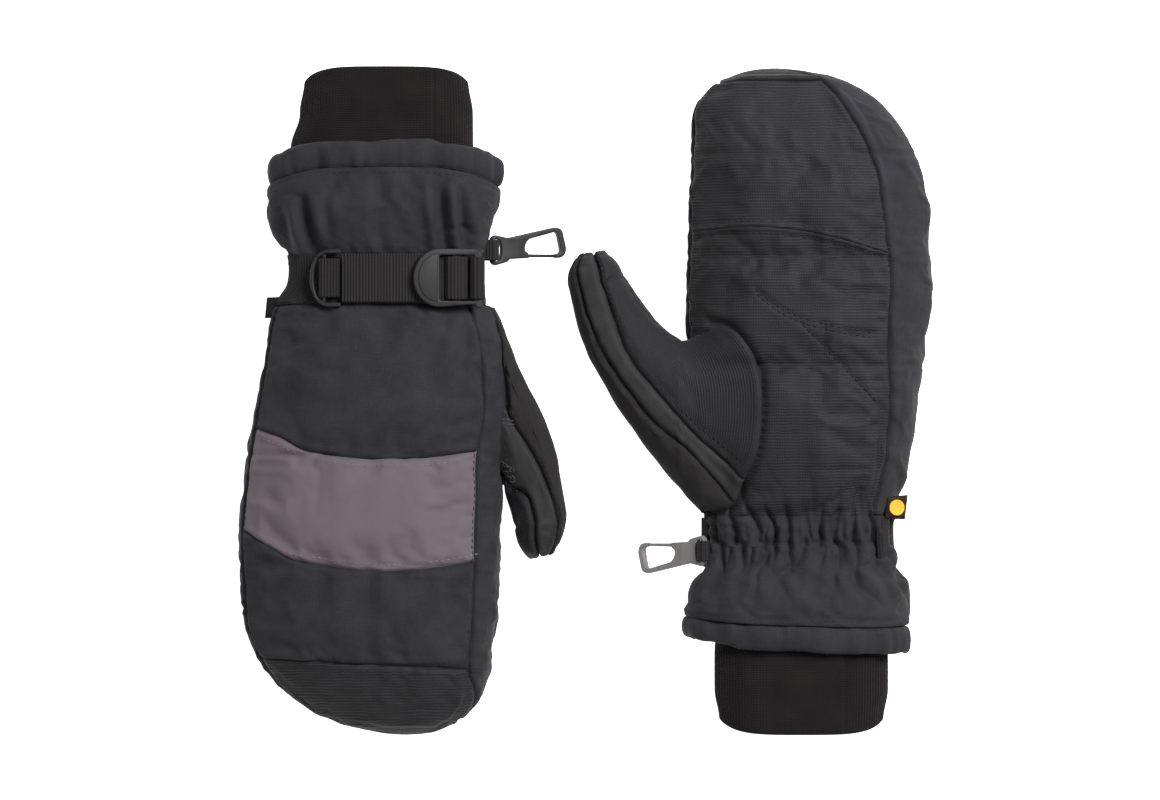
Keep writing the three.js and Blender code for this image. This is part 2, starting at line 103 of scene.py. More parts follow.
CREASES = {  # u, v at one end, u, v at the other, half width, depth, and whether it is on the palm
    "right": [
        (-36, -38, -30, -13, 3.2, 5.2, 0), (-25, -38, -23, -15, 3.4, 1.2, 0), (33, -46, 36, -13, 3.4, 5.6, 0),
        (43, -42, 45, -14, 2.8, 3.8, 0), (24, -34, 27, -15, 3.6, 1.2, 0), (-47, -36, -44, -16, 3.4, 1.6, 0),
        (39, 14, 27, 44, 3.8, 1.3, 0), (46, 14, 44, 50, 3.4, 1.5, 0), (52, 15, 56, 42, 3.2, 1.3, 0),
        (-34, 14, -43, 36, 3.6, 1.2, 0), (-20, 14, -24, 30, 3.4, 0.7, 0), (10, 14, 6, 34, 4.0, 0.6, 0),
        (-50, 60, -20, 66, 7.0, 0.8, 0), (56, 150, 30, 172, 6.0, 0.9, 0), (-40, 165, -8, 158, 6.0, 0.7, 0),
        (30, 60, 5, 90, 6.0, 1.0, 1), (-35, 110, 20, 118, 7.0, 1.0, 1),
    ],
    "left": [
        (30, -5, 37, -26, 3.6, 1.5, 1), (12, -5, 3, -27, 3.8, 1.7, 1), (-13, -5, -25, -24, 3.4, 1.5, 1),
        (-3, -6, -2, -30, 4.2, 1.1, 1), (42, -5, 50, -24, 3.2, 1.2, 1), (21, -6, 20, -24, 3.4, 0.9, 1),
        (-30, -8, -40, -26, 3.4, 1.2, 1), (10, 118, -32, 112, 6.0, 0.9, 1), (56, 172, -30, 186, 8.0, 0.9, 1),
        (40, 140, 10, 138, 6.0, 0.7, 1), (-12, 60, -33, 84, 5.0, 0.8, 1), (8, 30, 2, 62, 5.0, 0.7, 1),
        (-30, -38, -24, -14, 4.0, 1.6, 0), (34, -38, 36, -14, 4.0, 1.5, 0), (40, 14, 30, 40, 3.8, 1.2, 0),
    ],
}
HALF_THICKNESS = [(-68, 23), (-55, 23), (-40, 23), (-14, 17), (14, 17), (45, 22.5), (90, 24), (170, 23)]
THICKNESS_ROUND = 170  # v at which the fingertips start to get thinner
LAYER_DRAW_IN = 150  # v from which inner layers also draw back from the fingertips
BULGE = 2.4  # how square the sections are: 2 is an ellipse
CUFF = {"half": 43, "narrow": 40, "high": 18, "low": 12.5, "wall": 2.2, "end": -14, "rib": 1.75}
WRIST_SEAM = 12.5
INDEX_SEAM, BACK_PINKY_SEAM, PALM_PINKY_HELD, PALM_INDEX_SEAM = 38, 163, 234, 351
PALM_PINKY_SEAM = [(12, 226), (60, 226), (105, 232), (145, 234), (167, 237), (192, 239.5), (217, 243),
                   (236, 240)]
THUMB_SEAMS = {  # angle along the thumb of each seam between its strips
    "pad_back": [(-1, -30), (0, -30), (0.4, -35), (0.6, -55), (0.8, -73), (1, -77), (2, -77)],
    "pad_palm": [(-1, 93), (0, 92), (0.3, 92), (0.5, 92), (0.8, 84), (1, 81), (2, 80)],
    "palm": [(-1, 107), (0, 107), (0.25, 116), (0.5, 122), (0.75, 124), (1, 127), (2, 130)],
    "back": [(-1, 270), (0, 269), (0.25, 268), (0.5, 263), (0.75, 254), (1, 233), (2, 226)],
}
PATCH_START = [(-66, 73), (-56, 76.5), (-46, 79.8), (-37, 83.8), (-22, 88), (-2.5, 90), (25, 89.5),
               (49, 86.5), (60, 84)]
PATCH_END = [(-66, 125), (-50, 134), (-37, 140.5), (2.5, 145.5), (30, 144), (52.5, 140.5), (62, 138)]
CAP_SEAM = [(-60, 189), (0, 192), (55, 195)]
FLEX_SEAM = [(-45, 141), (-10, 151), (25, 156), (60, 154)]
TIP_WRAP = 7  # how far the fingertip cap comes over the tip onto the palm
CLOTH = 1.6  # thickness of a panel with its backing
SOFTNESS = 0.7  # how sharply the thumb meets the palm
THUMB_PLEAT = [(59, 18), (61.5, 32), (64.5, 50), (66, 64.5)]
THUMB_TACKS = [  # bar-tacks on the back of the thumb of the mitten that shows it
    [(63.3, 70), (68.7, 71)], [(63.3, 72), (68.7, 73)],
    [(63, 91), (69.5, 96), (64, 96.5), (70, 101), (65.5, 101.5), (71, 106)],
    [(66.5, 90), (64, 93.5), (67.5, 94.5), (65.5, 99), (69.5, 99), (68, 105)],
]
PRESS = 3.0  # cloth closer to the table than this, in mm, is pressed flat against it
PRESSED = ("shell_cloth", "palm_leather", "knuckle_suede", "rib_knit", "thumb_suede", "thumb_leather",
           "sewing_thread", "patch_thread", "tack_thread", "fibre_filling", "fleece_lining")
PALM_STITCHED = [  # stitched lines across the palm
    [(-43, 138.8), (-10, 148.2), (25, 153.2), (57, 151.4)],
    [(-43, 144.4), (-10, 153.8), (25, 158.8), (57, 157)],
    [(27.5, 125), (16, 116.5), (5, 111), (-10, 107), (-31, 103.5)],
    [(27, 122.6), (16, 114.1), (5, 108.6), (-10, 104.6), (-31, 101.1)],
    [(5, 108), (-13, 90), (-35, 66)],
]


# ---- Curves and noise ----


def smooth_at(points, at):
    """A smooth curve through (position, value) points, read at an array of positions."""
    x, y = np.array(points, float).T
    at = np.clip(at, x[0], x[-1])
    low, high = np.maximum(np.arange(len(x)) - 1, 0), np.minimum(np.arange(len(x)) + 1, len(x) - 1)
    slope = (y[high] - y[low]) / (x[high] - x[low])
    k = np.clip(np.searchsorted(x, at, side="right") - 1, 0, len(x) - 2)
    span, rise = x[k + 1] - x[k], y[k + 1] - y[k]
    t = (at - x[k]) / span
    bend = (slope[k] * span - rise) * (1 - t) - (slope[k + 1] * span - rise) * t
    return y[k] + t * rise + t * (1 - t) * bend


def smooth_path(points, at):
    """A smooth curve through points of a plane, read at shares from 0 to 1."""
    steps = np.linspace(0, 1, len(points))
    return [smooth_at(list(zip(steps, values)), at) for values in zip(*points)]


def ease(low, high, at):
    """0 up to the low position, 1 from the high one, which may be the smaller number."""
    t = np.clip((at - low) / (high - low), 0, 1)
    return t * t * (3 - 2 * t)


def closing(start, tip, at, power=2.0):
    """1 up to the start, then rounding off to 0 at the tip."""
    along = np.clip((at - start) / (tip - start), 0, 1)
    return (1 - along**power) ** (1 / power)


def bulge(value):
    """The sine or cosine of a round section, squared off towards its sides."""
    return np.sign(value) * np.abs(value) ** (2 / BULGE)


def hump(at, middle, width):
    """1 at the middle, falling off smoothly on both sides."""
    return np.exp(-(((at - middle) / width) ** 2))


def lumps(points, size, seed=0):
    """Smooth noise in space, from -1 to 1, with about one lump in each cube of that size."""
    scaled = np.asarray(points, float) / np.asarray(size, float) + seed * 17.3
    cell = np.floor(scaled).astype(int)
    part = scaled - cell
    part = part * part * (3 - 2 * part)
    total = np.zeros(scaled.shape[:-1])
    for corner in np.ndindex(2, 2, 2):
        at = (cell + corner) & 1023
        mixed = (at[..., 0] * 73856093) ^ (at[..., 1] * 19349663) ^ (at[..., 2] * 83492791)
        mixed = (mixed ^ (mixed >> 13)) * 1274126177 & 0x7FFFFFFF
        weight = np.prod(np.where(np.array(corner) == 1, part, 1 - part), axis=-1)
        total += weight * ((mixed & 0xFFFF) / 32767.5 - 1)
    return total


def run_length(points):
    """How far along a line of points each one is."""
    return np.concatenate([[0], np.cumsum(np.linalg.norm(np.diff(points, axis=0), axis=-1))])


def between(at, along, values):
    """The places or directions at distances along a line that are between those of its points."""
    return np.stack([np.interp(at, along, column) for column in values.T], -1)


# ---- Surfaces ----


class Skin:
    """A surface that layers of cloth lie on. bare() gives it smooth; at() adds what the simulation moved
    and the folds. Positions are in the mitten's own millimetres."""

    def __init__(self, side):
        self.side = side
        self.form = FORMS[side]
        self.moved = None

    def bare(self, along, angle, depth=0.0):
        raise NotImplementedError

    def relief(self, points, along, angle):
        return np.zeros(points.shape[:-1])

    def normal(self, along, angle, depth=0.0):
        reach = self.reach
        down, up = self.bare(along - reach, angle, depth), self.bare(along + reach, angle, depth)
        back, on = self.bare(along, angle - 1, depth), self.bare(along, angle + 1, depth)
        out = np.cross(up - down, on - back)
        return out / np.maximum(np.linalg.norm(out, axis=-1, keepdims=True), 1e-9)

    def at(self, along, angle, depth=0.0):
        """Places and outward directions on the folded surface."""
        along, angle = np.broadcast_arrays(np.asarray(along, float), np.asarray(angle, float))
        points, out = self.bare(along, angle, depth), self.normal(along, angle, depth)
        if self.moved is not None:
            points = points + self.read_moved(along, angle)
        return points + out * self.relief(points, along, angle)[..., None], out

    def read_moved(self, along, angle):
        rows, turns, field = self.moved
        row = np.interp(along, rows, np.arange(len(rows)))
        turn = (angle % 360) / 360 * turns
        r0 = np.clip(row.astype(int), 0, len(rows) - 2)
        t0 = turn.astype(int) % turns
        fr, ft = (row - r0)[..., None], (turn - turn.astype(int))[..., None]
        t1 = (t0 + 1) % turns
        low = field[r0, t0] * (1 - ft) + field[r0, t1] * ft
        high = field[r0 + 1, t0] * (1 - ft) + field[r0 + 1, t1] * ft
        return low * (1 - fr) + high * fr


class Hand(Skin):
    """The hand and gauntlet, along v."""

    reach = 0.5

    def edges(self, v, depth=0.0):
        form = self.form
        tip_u, tip_v = form["tip"]
        pinky, thumb = smooth_at(form["pinky_edge"], v) + depth, smooth_at(form["thumb_edge"], v) - depth
        powers = form["squareness"]
        pinky = tip_u + (pinky - tip_u) * closing(form["pinky_round"], tip_v, v, powers[0])
        thumb = tip_u + (thumb - tip_u) * closing(form["thumb_round"], tip_v, v, powers[1])
        height = (smooth_at(HALF_THICKNESS, v) - depth) * closing(THICKNESS_ROUND, tip_v, v)
        return (pinky + thumb) / 2, np.maximum((thumb - pinky) / 2, 1e-3), np.maximum(height, 1e-3)

    def bare(self, along, angle, depth=0.0):
        tip_v = self.form["tip"][1]
        middle, half, height = self.edges(along, depth)
        turn = np.radians(angle)
        draw = np.clip((along - LAYER_DRAW_IN) / (tip_v - LAYER_DRAW_IN), 0, 1)
        corners, tilt = self.form["hem_droop"]
        droop = (corners * np.abs(np.cos(turn)) ** 3.4 + tilt * np.cos(turn)) * ease(-26, -56, along)
        places = [middle + bulge(np.cos(turn)) * half, along - depth * draw + droop,
                  bulge(np.sin(turn)) * height]
        return np.stack(np.broadcast_arrays(*places), axis=-1)

    def angle_at(self, u, v, palm=False):
        """The angle at which the surface passes over a place, on the back or on the palm."""
        middle, half, _ = self.edges(np.asarray(v, float))
        x = np.clip((u - middle) / half, -0.9999, 0.9999)
        turn = np.degrees(np.arccos(np.sign(x) * np.abs(x) ** (BULGE / 2)))
        return 360 - turn if palm else turn

    def over(self, u, v, palm=False, lift=0.0):
        points, out = self.at(v, self.angle_at(u, v, palm))
        return points + out * lift, out

    def relief(self, points, along, angle):
        u, v, form = points[..., 0], along, self.form
        middle, half, _ = self.edges(v)
        side = np.sin(np.radians(angle))
        back, palm = ease(-0.1, 0.35, side), ease(-0.1, 0.35, -side)
        rough = 1.0 * lumps(points, 28, 1) + 0.42 * lumps(points, (9, 15, 9), 2)
        near_strap = np.where(np.cos(np.radians(angle)) < 0, ease(-0.85, -0.6, side), ease(0, 0.3, side))
        under_strap = hump(v, 0, 13) ** 2 * near_strap
        total = rough * (1 - 0.9 * under_strap) - 1.6 * under_strap
        sides = ease(0.55, 0.95, np.abs(u - middle) / half)
        near = np.exp(-np.maximum(np.abs(v) - 13, 0) / 11) * (np.abs(v) > 12)
        total += back * near * (0.7 + 1.3 * sides) * lumps(np.stack([u, v * 0.22, v * 0], -1), 6.5, 3)
        total += ease(-0.25, 0.2, -side) * gathers(u, v)
        if np.any(side < -0.1):
            _, arc_u, arc_v = zip(*form["thenar"])
            total -= palm * 2.4 * hump(gap_to(list(zip(arc_u, arc_v)), u, v), 0, 2.6)
            for path in PALM_STITCHED:
                total -= palm * 0.6 * hump(gap_to(path, u, v), 0, 1.1)
            total += palm * 0.7 * hump(v - smooth_at(FLEX_SEAM, u), 0, 2.4)
        for crease in CREASES[self.side]:
            total += folded(crease, u, v) * (palm if crease[6] else back)
        return total


def gap_to(path, u, v):
    """How far places on the hand are from a smooth path of (u, v) points."""
    path_u, path_v = smooth_path(path, np.linspace(0, 1, 50))
    nearest = np.full(np.shape(u), 99.0)
    for at_u, at_v in zip(path_u, path_v):
        nearest = np.minimum(nearest, np.hypot(u - at_u, v - at_v))
    return nearest


GATHERS = (  # v of the sewn line, how far the puckers reach, their pitch, start, height and depth
    (0.5, 19, 8.8, 0.15, 1.6, 4.0),
    (-2.5, -15, 10.4, 0.55, 1.6, 4.6),
    (2, 11, 5.3, 0.3, 0.6, 2.0),
    (-4, -8, 6.1, 0.7, 0.6, 2.0),
    (-5, -33, 17.5, 0.1, 0.8, 2.2),
    (6, 34, 14.5, 0.4, 0.5, 1.2),
)


def gathers(u, v):
    """The pointed puckers that the elastic makes across the palm side of the wrist, above and below it."""
    total = -1.0 * hump(v, -1, 2.0)
    for middle, reach, pitch, start, height, depth in GATHERS:
        t = (v - middle) / reach
        wander = lumps(np.stack([u * 0.6, v * 0.8, v * 0], -1), 12, 5 + pitch)
        wave = np.abs(np.cos(np.pi * (u / pitch + start + 0.6 * wander)))
        fades = ease(-0.25, 0.0, t) * np.clip(1 - t, 0, 1) ** 0.7
        strength = 0.85 + 0.6 * lumps(np.stack([u, v * 0.1, v * 0], -1), 11, 31 + pitch)
        valley = np.exp(-((wave / (0.5 - 0.2 * np.clip(t, 0, 1))) ** 2))
        total = total + fades * strength * (height * wave - depth * valley)
    return total


def folded(crease, u, v):
    """How far a crease between two places pushes the cloth in, or out where its depth is negative."""
    u0, v0, u1, v1, width, depth, _ = crease
    du, dv = u1 - u0, v1 - v0
    t = np.clip(((u - u0) * du + (v - v0) * dv) / (du * du + dv * dv), -0.2, 1.2)
    away = np.hypot(u - u0 - t * du, v - v0 - t * dv)
    taper = np.sin(np.pi * np.clip((t + 0.2) / 1.4, 0, 1)) ** 0.7
    return -depth * taper * (hump(away, 0, width) - 0.45 * hump(away, 1.9 * width, width))


class Thumb(Skin):
    """The thumb, along its length: 0 where it leaves the hand, 1 where its tip starts to round, 2 its end,
    and down to -1 where its palm side runs on over the ball of the thumb. Its angles are 0 towards the
    fingers, 90 palm side, 180 outer edge and 270 back."""

    reach = 0.01

    def __init__(self, side, hand):
        super().__init__(side)
        self.hand = hand

    def bare(self, along, angle, depth=0.0):
        along, angle = np.broadcast_arrays(np.asarray(along, float), np.asarray(angle, float))
        spread = 0.17 * hump(along, 0, 0.3)
        near = [self.sharp(along + shift * spread, angle, depth) for shift in (-1, 0, 1)]
        return 0.25 * near[0] + 0.5 * near[1] + 0.25 * near[2]

    def sharp(self, along, angle, depth):
        form = self.form
        share = np.clip(along, 0, 1)
        close = closing(1, 2, np.minimum(along, 1.9999))
        outer, inner = (np.stack(smooth_path(form[key], share), -1) for key in ("thumb_outer", "thumb_inner"))
        middle, across = (outer + inner) / 2, (inner - outer) / 2
        length = np.linalg.norm(across, axis=-1, keepdims=True)
        across = across / length * ((length - depth) * close[..., None])
        forward = np.array(form["thumb_tip"]) - middle
        reach = np.linalg.norm(forward, axis=-1, keepdims=True)
        middle = middle + forward * np.clip(along - 1, 0, 1)[..., None] * (1 - depth / reach)
        turn = np.radians(angle)
        palm = np.sin(turn) > 0
        height = np.where(palm, 18 - 4 * share, 10 + 4 * share) - depth
        plane = middle + across * bulge(np.cos(turn))[..., None]
        w = -3 * (1 - share) - bulge(np.sin(turn)) * height * close
        if np.any(along < 0):
            plane, w = self.onto_palm(along, turn, plane, w, depth)
        return np.concatenate([plane, w[..., None]], axis=-1)

    def onto_palm(self, along, turn, plane, w, depth):
        """Past its base the palm side runs over the ball of the thumb, and the back goes inside the hand."""
        back = np.clip(-along, 0, 1)
        at, arc_u, arc_v = zip(*self.form["thenar"])
        around = np.degrees(turn) % 360
        around = np.where(around > 270, 0, around)
        u1, v1 = (smooth_at(list(zip(at, values)), around) for values in (arc_u, arc_v))
        u = plane[..., 0] + (u1 - plane[..., 0]) * back
        v = plane[..., 1] + (v1 - plane[..., 1]) * back
        rests = [self.palm_under(*place) - 0.3 + depth for place in ((u, v), (u1, v1))]
        over_w = w + (rests[1] - w) * ease(0, 1, back)
        over_w = -np.logaddexp(-SOFTNESS * over_w, -SOFTNESS * rests[0]) / SOFTNESS
        over_w = w + (over_w - w) * ease(0, 0.2, back)
        is_palm = ease(-0.25, 0.3, np.sin(turn))
        inside_u, inside_w = plane[..., 0] - 14 * back, w * (1 - 0.35 * back)
        flat = [inside_u + (u - inside_u) * is_palm, plane[..., 1] + (v - plane[..., 1]) * is_palm]
        new_w = inside_w + (over_w - inside_w) * is_palm
        on = along < 0
        return np.where(on[..., None], np.stack(flat, -1), plane), np.where(on, new_w, w)

    def palm_under(self, u, v):
        middle, half, height = self.hand.edges(v)
        x = np.clip(np.abs(u - middle) / half, 0, 1)
        w = -height * (1 - x**BULGE) ** (1 / BULGE)
        if self.hand.moved is not None:
            w = w + self.hand.read_moved(v, self.hand.angle_at(u, v, True))[..., 2]
        return w

    def relief(self, points, along, angle):
        rough = 0.45 * lumps(points, 17, 6) + 0.25 * lumps(points, 7, 7)
        base = hump(along, -0.05, 0.22) * 0.5 * lumps(points * (1, 0.4, 1), 6, 8)
        total = rough + base
        for name, table in THUMB_SEAMS.items():
            gap = (angle - smooth_at(table, along) + 180) % 360 - 180
            deep = 1.5 + (1.6 if self.side == "left" else 0.3) * ease(1, 1.9, along) * (name == "pad_palm")
            total = total - deep * hump(gap, 0, 7) * ease(-0.95, -0.6, along)
        if self.side == "right":
            slit = gap_to(THUMB_PLEAT, points[..., 0], points[..., 1])
            on_back = ease(-0.1, 0.4, -np.sin(np.radians(angle)))
            total = total + on_back * (0.9 * hump(slit, 2.6, 1.6) - 2.6 * hump(slit, 0, 1.3))
        return total

    def over(self, path, count=120, lift=0.12):
        """Places and directions on the back of the thumb, above a smooth path of (u, v)."""
        along, angle = np.meshgrid(np.linspace(-0.9, 1.9, 260), np.arange(185, 345, 1.25), indexing="ij")
        places, out = (grid.reshape(-1, 3) for grid in self.at(along, angle))
        wanted = np.stack(smooth_path(path, np.linspace(0, 1, count)), -1)
        near = [int(np.argmin(np.hypot(*(places[:, :2] - one).T))) for one in wanted]
        return places[near] + out[near] * lift, out[near]


class Cuff(Skin):
    """The knit cuff, along v."""

    reach = 0.5

    def bare(self, along, angle, depth=0.0):
        turn = np.radians(angle)
        taper = ease(-60, CUFF["end"], along)
        half = CUFF["half"] + (CUFF["narrow"] - CUFF["half"]) * taper - depth
        high = CUFF["high"] + (CUFF["low"] - CUFF["high"]) * taper - depth
        places = [self.form["cuff_middle"] + bulge(np.cos(turn)) * half, along, bulge(np.sin(turn)) * high]
        return np.stack(np.broadcast_arrays(*places), axis=-1)

    def relief(self, points, along, angle):
        free = ease(0, 25, self.form["hem_end"] - along)
        return 0.8 * lumps(points, (24, 60, 24), 9) * (0.4 + 0.6 * free)


# ---- Simulation ----

SIM_ROWS, SIM_TURNS = 104, 96
SIM_CAP = {"hand": 4.0, "thumb": 1.7}  # how far a place may move, in mm
SIM_INWARD = 0.3
SIM_PRESSURE = 3.0
SIM_FRAMES = 20
SIM_SEAMS = (-12, -6, 0, 6, WRIST_SEAM, 88, 142, 192)  # v of the lines that hold the cloth down


def simulate(skin, rows, seam_rows, seam_angles, cap):
    """Blows the cloth out between its seams with Blender's Cloth, and keeps how far each place moved."""
    turns = np.arange(SIM_TURNS) * 360 / SIM_TURNS
    grid = skin.bare(rows[:, None], turns[None, :])
    count = len(rows)
    faces = grid_faces(count, SIM_TURNS, wrap=True)
    mesh = bpy.data.meshes.new("cloth_run")
    mesh.from_pydata((grid.reshape(-1, 3) * MM).tolist(), [], faces)
    obj = bpy.data.objects.new("cloth_run", mesh)
    bpy.context.scene.collection.objects.link(obj)
    along = np.repeat(rows, SIM_TURNS)
    angle = np.tile(turns, count)
    held = (along <= rows[1]) | (along >= rows[-2])
    for seam in seam_rows:
        nearest = rows[np.argmin(np.abs(rows - seam))]
        held |= along == nearest
    for seam, low, high in seam_angles:
        gap = np.abs((angle - seam + 180) % 360 - 180)
        held |= (gap <= 180 / SIM_TURNS + 0.01) & (along >= low) & (along <= high)
    group = obj.vertex_groups.new(name="held")
    group.add(np.flatnonzero(held).tolist(), 1.0, "REPLACE")
    cloth = obj.modifiers.new("cloth", "CLOTH")
    settings = cloth.settings
    settings.quality = 5
    settings.mass = 0.0002
    settings.tension_stiffness = settings.compression_stiffness = 12
    settings.shear_stiffness = 5
    settings.bending_stiffness = 0.3
    settings.air_damping = 2
    settings.shrink_min = settings.shrink_max = -0.035
    settings.use_pressure = True
    settings.uniform_pressure_force = SIM_PRESSURE
    settings.vertex_group_mass = "held"
    settings.effector_weights.gravity = 0
    scene = bpy.context.scene
    cloth.point_cache.frame_start, cloth.point_cache.frame_end = 1, SIM_FRAMES
    for number in range(1, SIM_FRAMES + 1):
        scene.frame_set(number)
    moved = obj.evaluated_get(bpy.context.evaluated_depsgraph_get()).to_mesh()
    after = np.zeros(len(mesh.vertices) * 3)
    moved.vertices.foreach_get("co", after)
    shift = after.reshape(grid.shape) / MM - grid
    out = skin.normal(rows[:, None], turns[None, :])
    outwards = np.sum(shift * out, -1, keepdims=True)
    shift += out * (np.maximum(outwards, -SIM_INWARD) - outwards)
    size = np.linalg.norm(shift, axis=-1, keepdims=True)
    scene.frame_set(1)
    bpy.data.objects.remove(obj)
    skin.moved = (rows, SIM_TURNS, shift * np.minimum(1, cap / np.maximum(size, 1e-6)))


# ---- Meshes ----


def to_world(side, points):
    """Metres in the row frame from a mitten's own millimetres."""
    form = FORMS[side]
    return (np.asarray(points) * form["turn"] + form["place"]) * MM


def grid_faces(rows, columns, wrap=False, start=0, flip=False):
    """Quads over a grid of points, with the outside on the side that a Skin calls out."""
    row, column = np.meshgrid(np.arange(rows - 1), np.arange(columns if wrap else columns - 1), indexing="ij")
    a = start + row * columns + column
    b = start + row * columns + (column + 1) % columns
    quads = np.stack([a, a + columns, b + columns, b], -1).reshape(-1, 4)
    return (quads[:, ::-1] if flip else quads).tolist()


def closed_sheet(top, low, uv, wrap=False):
    """Points, faces and layout of a thin solid between two grids of places."""
    rows, columns = top.shape[:2]
    count, last = rows * columns, (rows - 1) * columns
    faces = grid_faces(rows, columns, wrap) + grid_faces(rows, columns, wrap, count, flip=True)
    for j in range(columns if wrap else columns - 1):
        k = (j + 1) % columns
        faces += [(j, k, count + k, count + j), (last + k, last + j, count + last + j, count + last + k)]
    for i in range(0 if wrap else rows - 1):
        a, b = i * columns, (i + 1) * columns
        faces.append((b, a, count + a, count + b))
        a, b = a + columns - 1, b + columns - 1
        faces.append((a, b, count + b, count + a))
    uv = uv.reshape(-1, 2)
    return np.concatenate([top.reshape(-1, 3), low.reshape(-1, 3)]), faces, np.concatenate([uv, uv])


def piece(name, side, points, faces, material, body="mitten", uv=None, smooth=True):
    """A mesh object in the row frame, from places in a mitten's own millimetres."""
    if side == "right":
        faces = [face[::-1] for face in faces]
    mesh = bpy.data.meshes.new(f"{side}_{name}")
    places = to_world(side, points)
    if material.name in PRESSED:
        height = places[:, 2] / MM
        pressed = PRESS * np.exp(np.minimum(height / PRESS - 1, 0))
        places[:, 2] = np.where(height < PRESS, pressed, height) * MM
    mesh.from_pydata(places.tolist(), [], faces)
    if uv is not None:
        layer = mesh.uv_layers.new(name="cloth")
        corners = np.zeros(len(mesh.loops), np.int32)
        mesh.loops.foreach_get("vertex_index", corners)
        layer.data.foreach_set("uv", (np.asarray(uv)[corners] * MM).astype(np.float32).ravel())
    mesh.materials.append(material)
    if smooth:
        mesh.polygons.foreach_set("use_smooth", [True] * len(mesh.polygons))
    obj = bpy.data.objects.new(f"{side}_{name}_piece", mesh)
    bpy.context.scene.collection.objects.link(obj)
    if body:
        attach(obj, f"{side}_{body}")
    return obj


def stands_for(obj, side, *nodes, slot=None):
    """Hides the CAD nodes of a mitten that a piece replaces."""
    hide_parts(*(f"{side}_{node}" for node in nodes))
    return obj


EDGE_STEPS = (0, 0.35, 0.8, 1.4, 2.2, 3.2)  # places of the first rows of points in from a seam
SAMPLES = 721  # places read across a panel to space its points evenly


def spaced(length, step, dense=True):
    """Shares from 0 to 1 along a length, closer together at both ends."""
    edge = np.array(EDGE_STEPS)
    if not dense or length < 4 * edge[-1]:
        return np.linspace(0, 1, max(int(length / step), 3) + 1)
    inner = np.linspace(edge[-1], length - edge[-1], max(int((length - 2 * edge[-1]) / step), 2) + 1)
    return np.concatenate([edge[:-1], inner, length - edge[-2::-1]]) / length


def value_of(limit, at):
    """A limit of a Cloth at an array of positions."""
    return limit(at) if callable(limit) else np.full(np.shape(at), float(limit))


class Cloth:
    """Part of a skin between two limits along it and two across it, as a closed sheet with turned-in
    edges. A limit is a number, or a function of the other coordinate."""

    def __init__(self, skin, along, angles, depth=0.0, step=1.25, wrap=False, closes=False, sink=1.3,
                 sewn=(1, 1, 1, 1)):
        self.wrap = wrap
        middle_angle = 0.5 * sum(float(np.mean(value_of(a, np.array([0.0])))) for a in angles)
        low, high = (float(value_of(a, np.array([middle_angle]))[0]) for a in along)
        length = run_length(skin.bare(np.linspace(low, high, 60), np.full(60, middle_angle), depth))[-1]
        t = spaced(length, step, sink > 0)
        if closes:
            t = 1 - (1 - np.linspace(0, 1, max(int(length * 1.25 / step), 8))) ** 1.9
        middle_along = np.full(SAMPLES, (low + high) / 2)
        around = np.linspace(*(float(value_of(a, middle_along[:1])[0]) for a in angles), SAMPLES)
        shares = run_length(skin.bare(middle_along, around, depth))
        width = shares[-1]
        r = np.arange(int(width / step)) / int(width / step) if wrap else spaced(width, step, sink > 0)
        r = np.interp(r, shares / width, np.linspace(0, 1, SAMPLES))
        t, r = np.meshgrid(t, r, indexing="ij")
        v = low + (high - low) * t
        for _ in range(4):
            first, last = value_of(angles[0], v), value_of(angles[1], v)
            angle = first + (last - first) * r
            start = value_of(along[0], angle)
            v = start + (value_of(along[1], angle) - start) * t
        self.along, self.angle = v, angle
        self.points, self.out = skin.at(v, angle, depth)
        closed = np.concatenate([self.points, self.points[:, :1]], 1) if wrap else self.points
        across = np.linalg.norm(np.diff(closed, axis=1), axis=-1)
        lengthwise = np.linalg.norm(np.diff(self.points, axis=0), axis=-1)
        right = np.concatenate([np.zeros((len(t), 1)), np.cumsum(across, 1)], 1)
        up = np.concatenate([np.zeros((1, t.shape[1])), np.cumsum(lengthwise, 0)], 0)
        ends = [(up, sewn[0]), (up[-1:] - up, sewn[1])]
        if not wrap:
            ends += [(right, sewn[2]), (right[:, -1:] - right, sewn[3])]
        self.edge = np.full(t.shape, 99.0)
        for gap, on in ends:
            if on:
                self.edge = np.minimum(self.edge, gap[:, : t.shape[1]] + 2 * (1 - on))
        if sink:
            self.sew(sink)
        spread = right[:, : t.shape[1]] - right[:, -1:] / 2
        self.uv = np.stack([spread, v if skin.reach > 0.1 else up], -1)

    def sew(self, sink):
        """Turns the edge in at the seam, with the folded seam allowance standing up beside it."""
        pucker = lumps(self.points, 4.2, 11)
        profile = -sink * np.exp(-((self.edge / 0.85) ** 2)) + 0.42 * hump(self.edge, 2.9, 1.7)
        profile += np.exp(-self.edge / 4.5) * 0.38 * pucker * (self.edge > 0.6)
        self.points = self.points + self.out * profile[..., None]

    def build(self, thick=CLOTH):
        return closed_sheet(self.points, self.points - self.out * thick, self.uv, self.wrap)


def merged(*parts):
    """Several (points, faces, uv) as one."""
    points, faces, uvs, start = [], [], [], 0
    for some, quads, uv in parts:
        points.append(some)
        uvs.append(uv)
        faces += [tuple(start + i for i in face) for face in quads]
        start += len(some)
    return np.concatenate(points), faces, np.concatenate(uvs)


# ---- Stitches ----

THREAD = 0.32


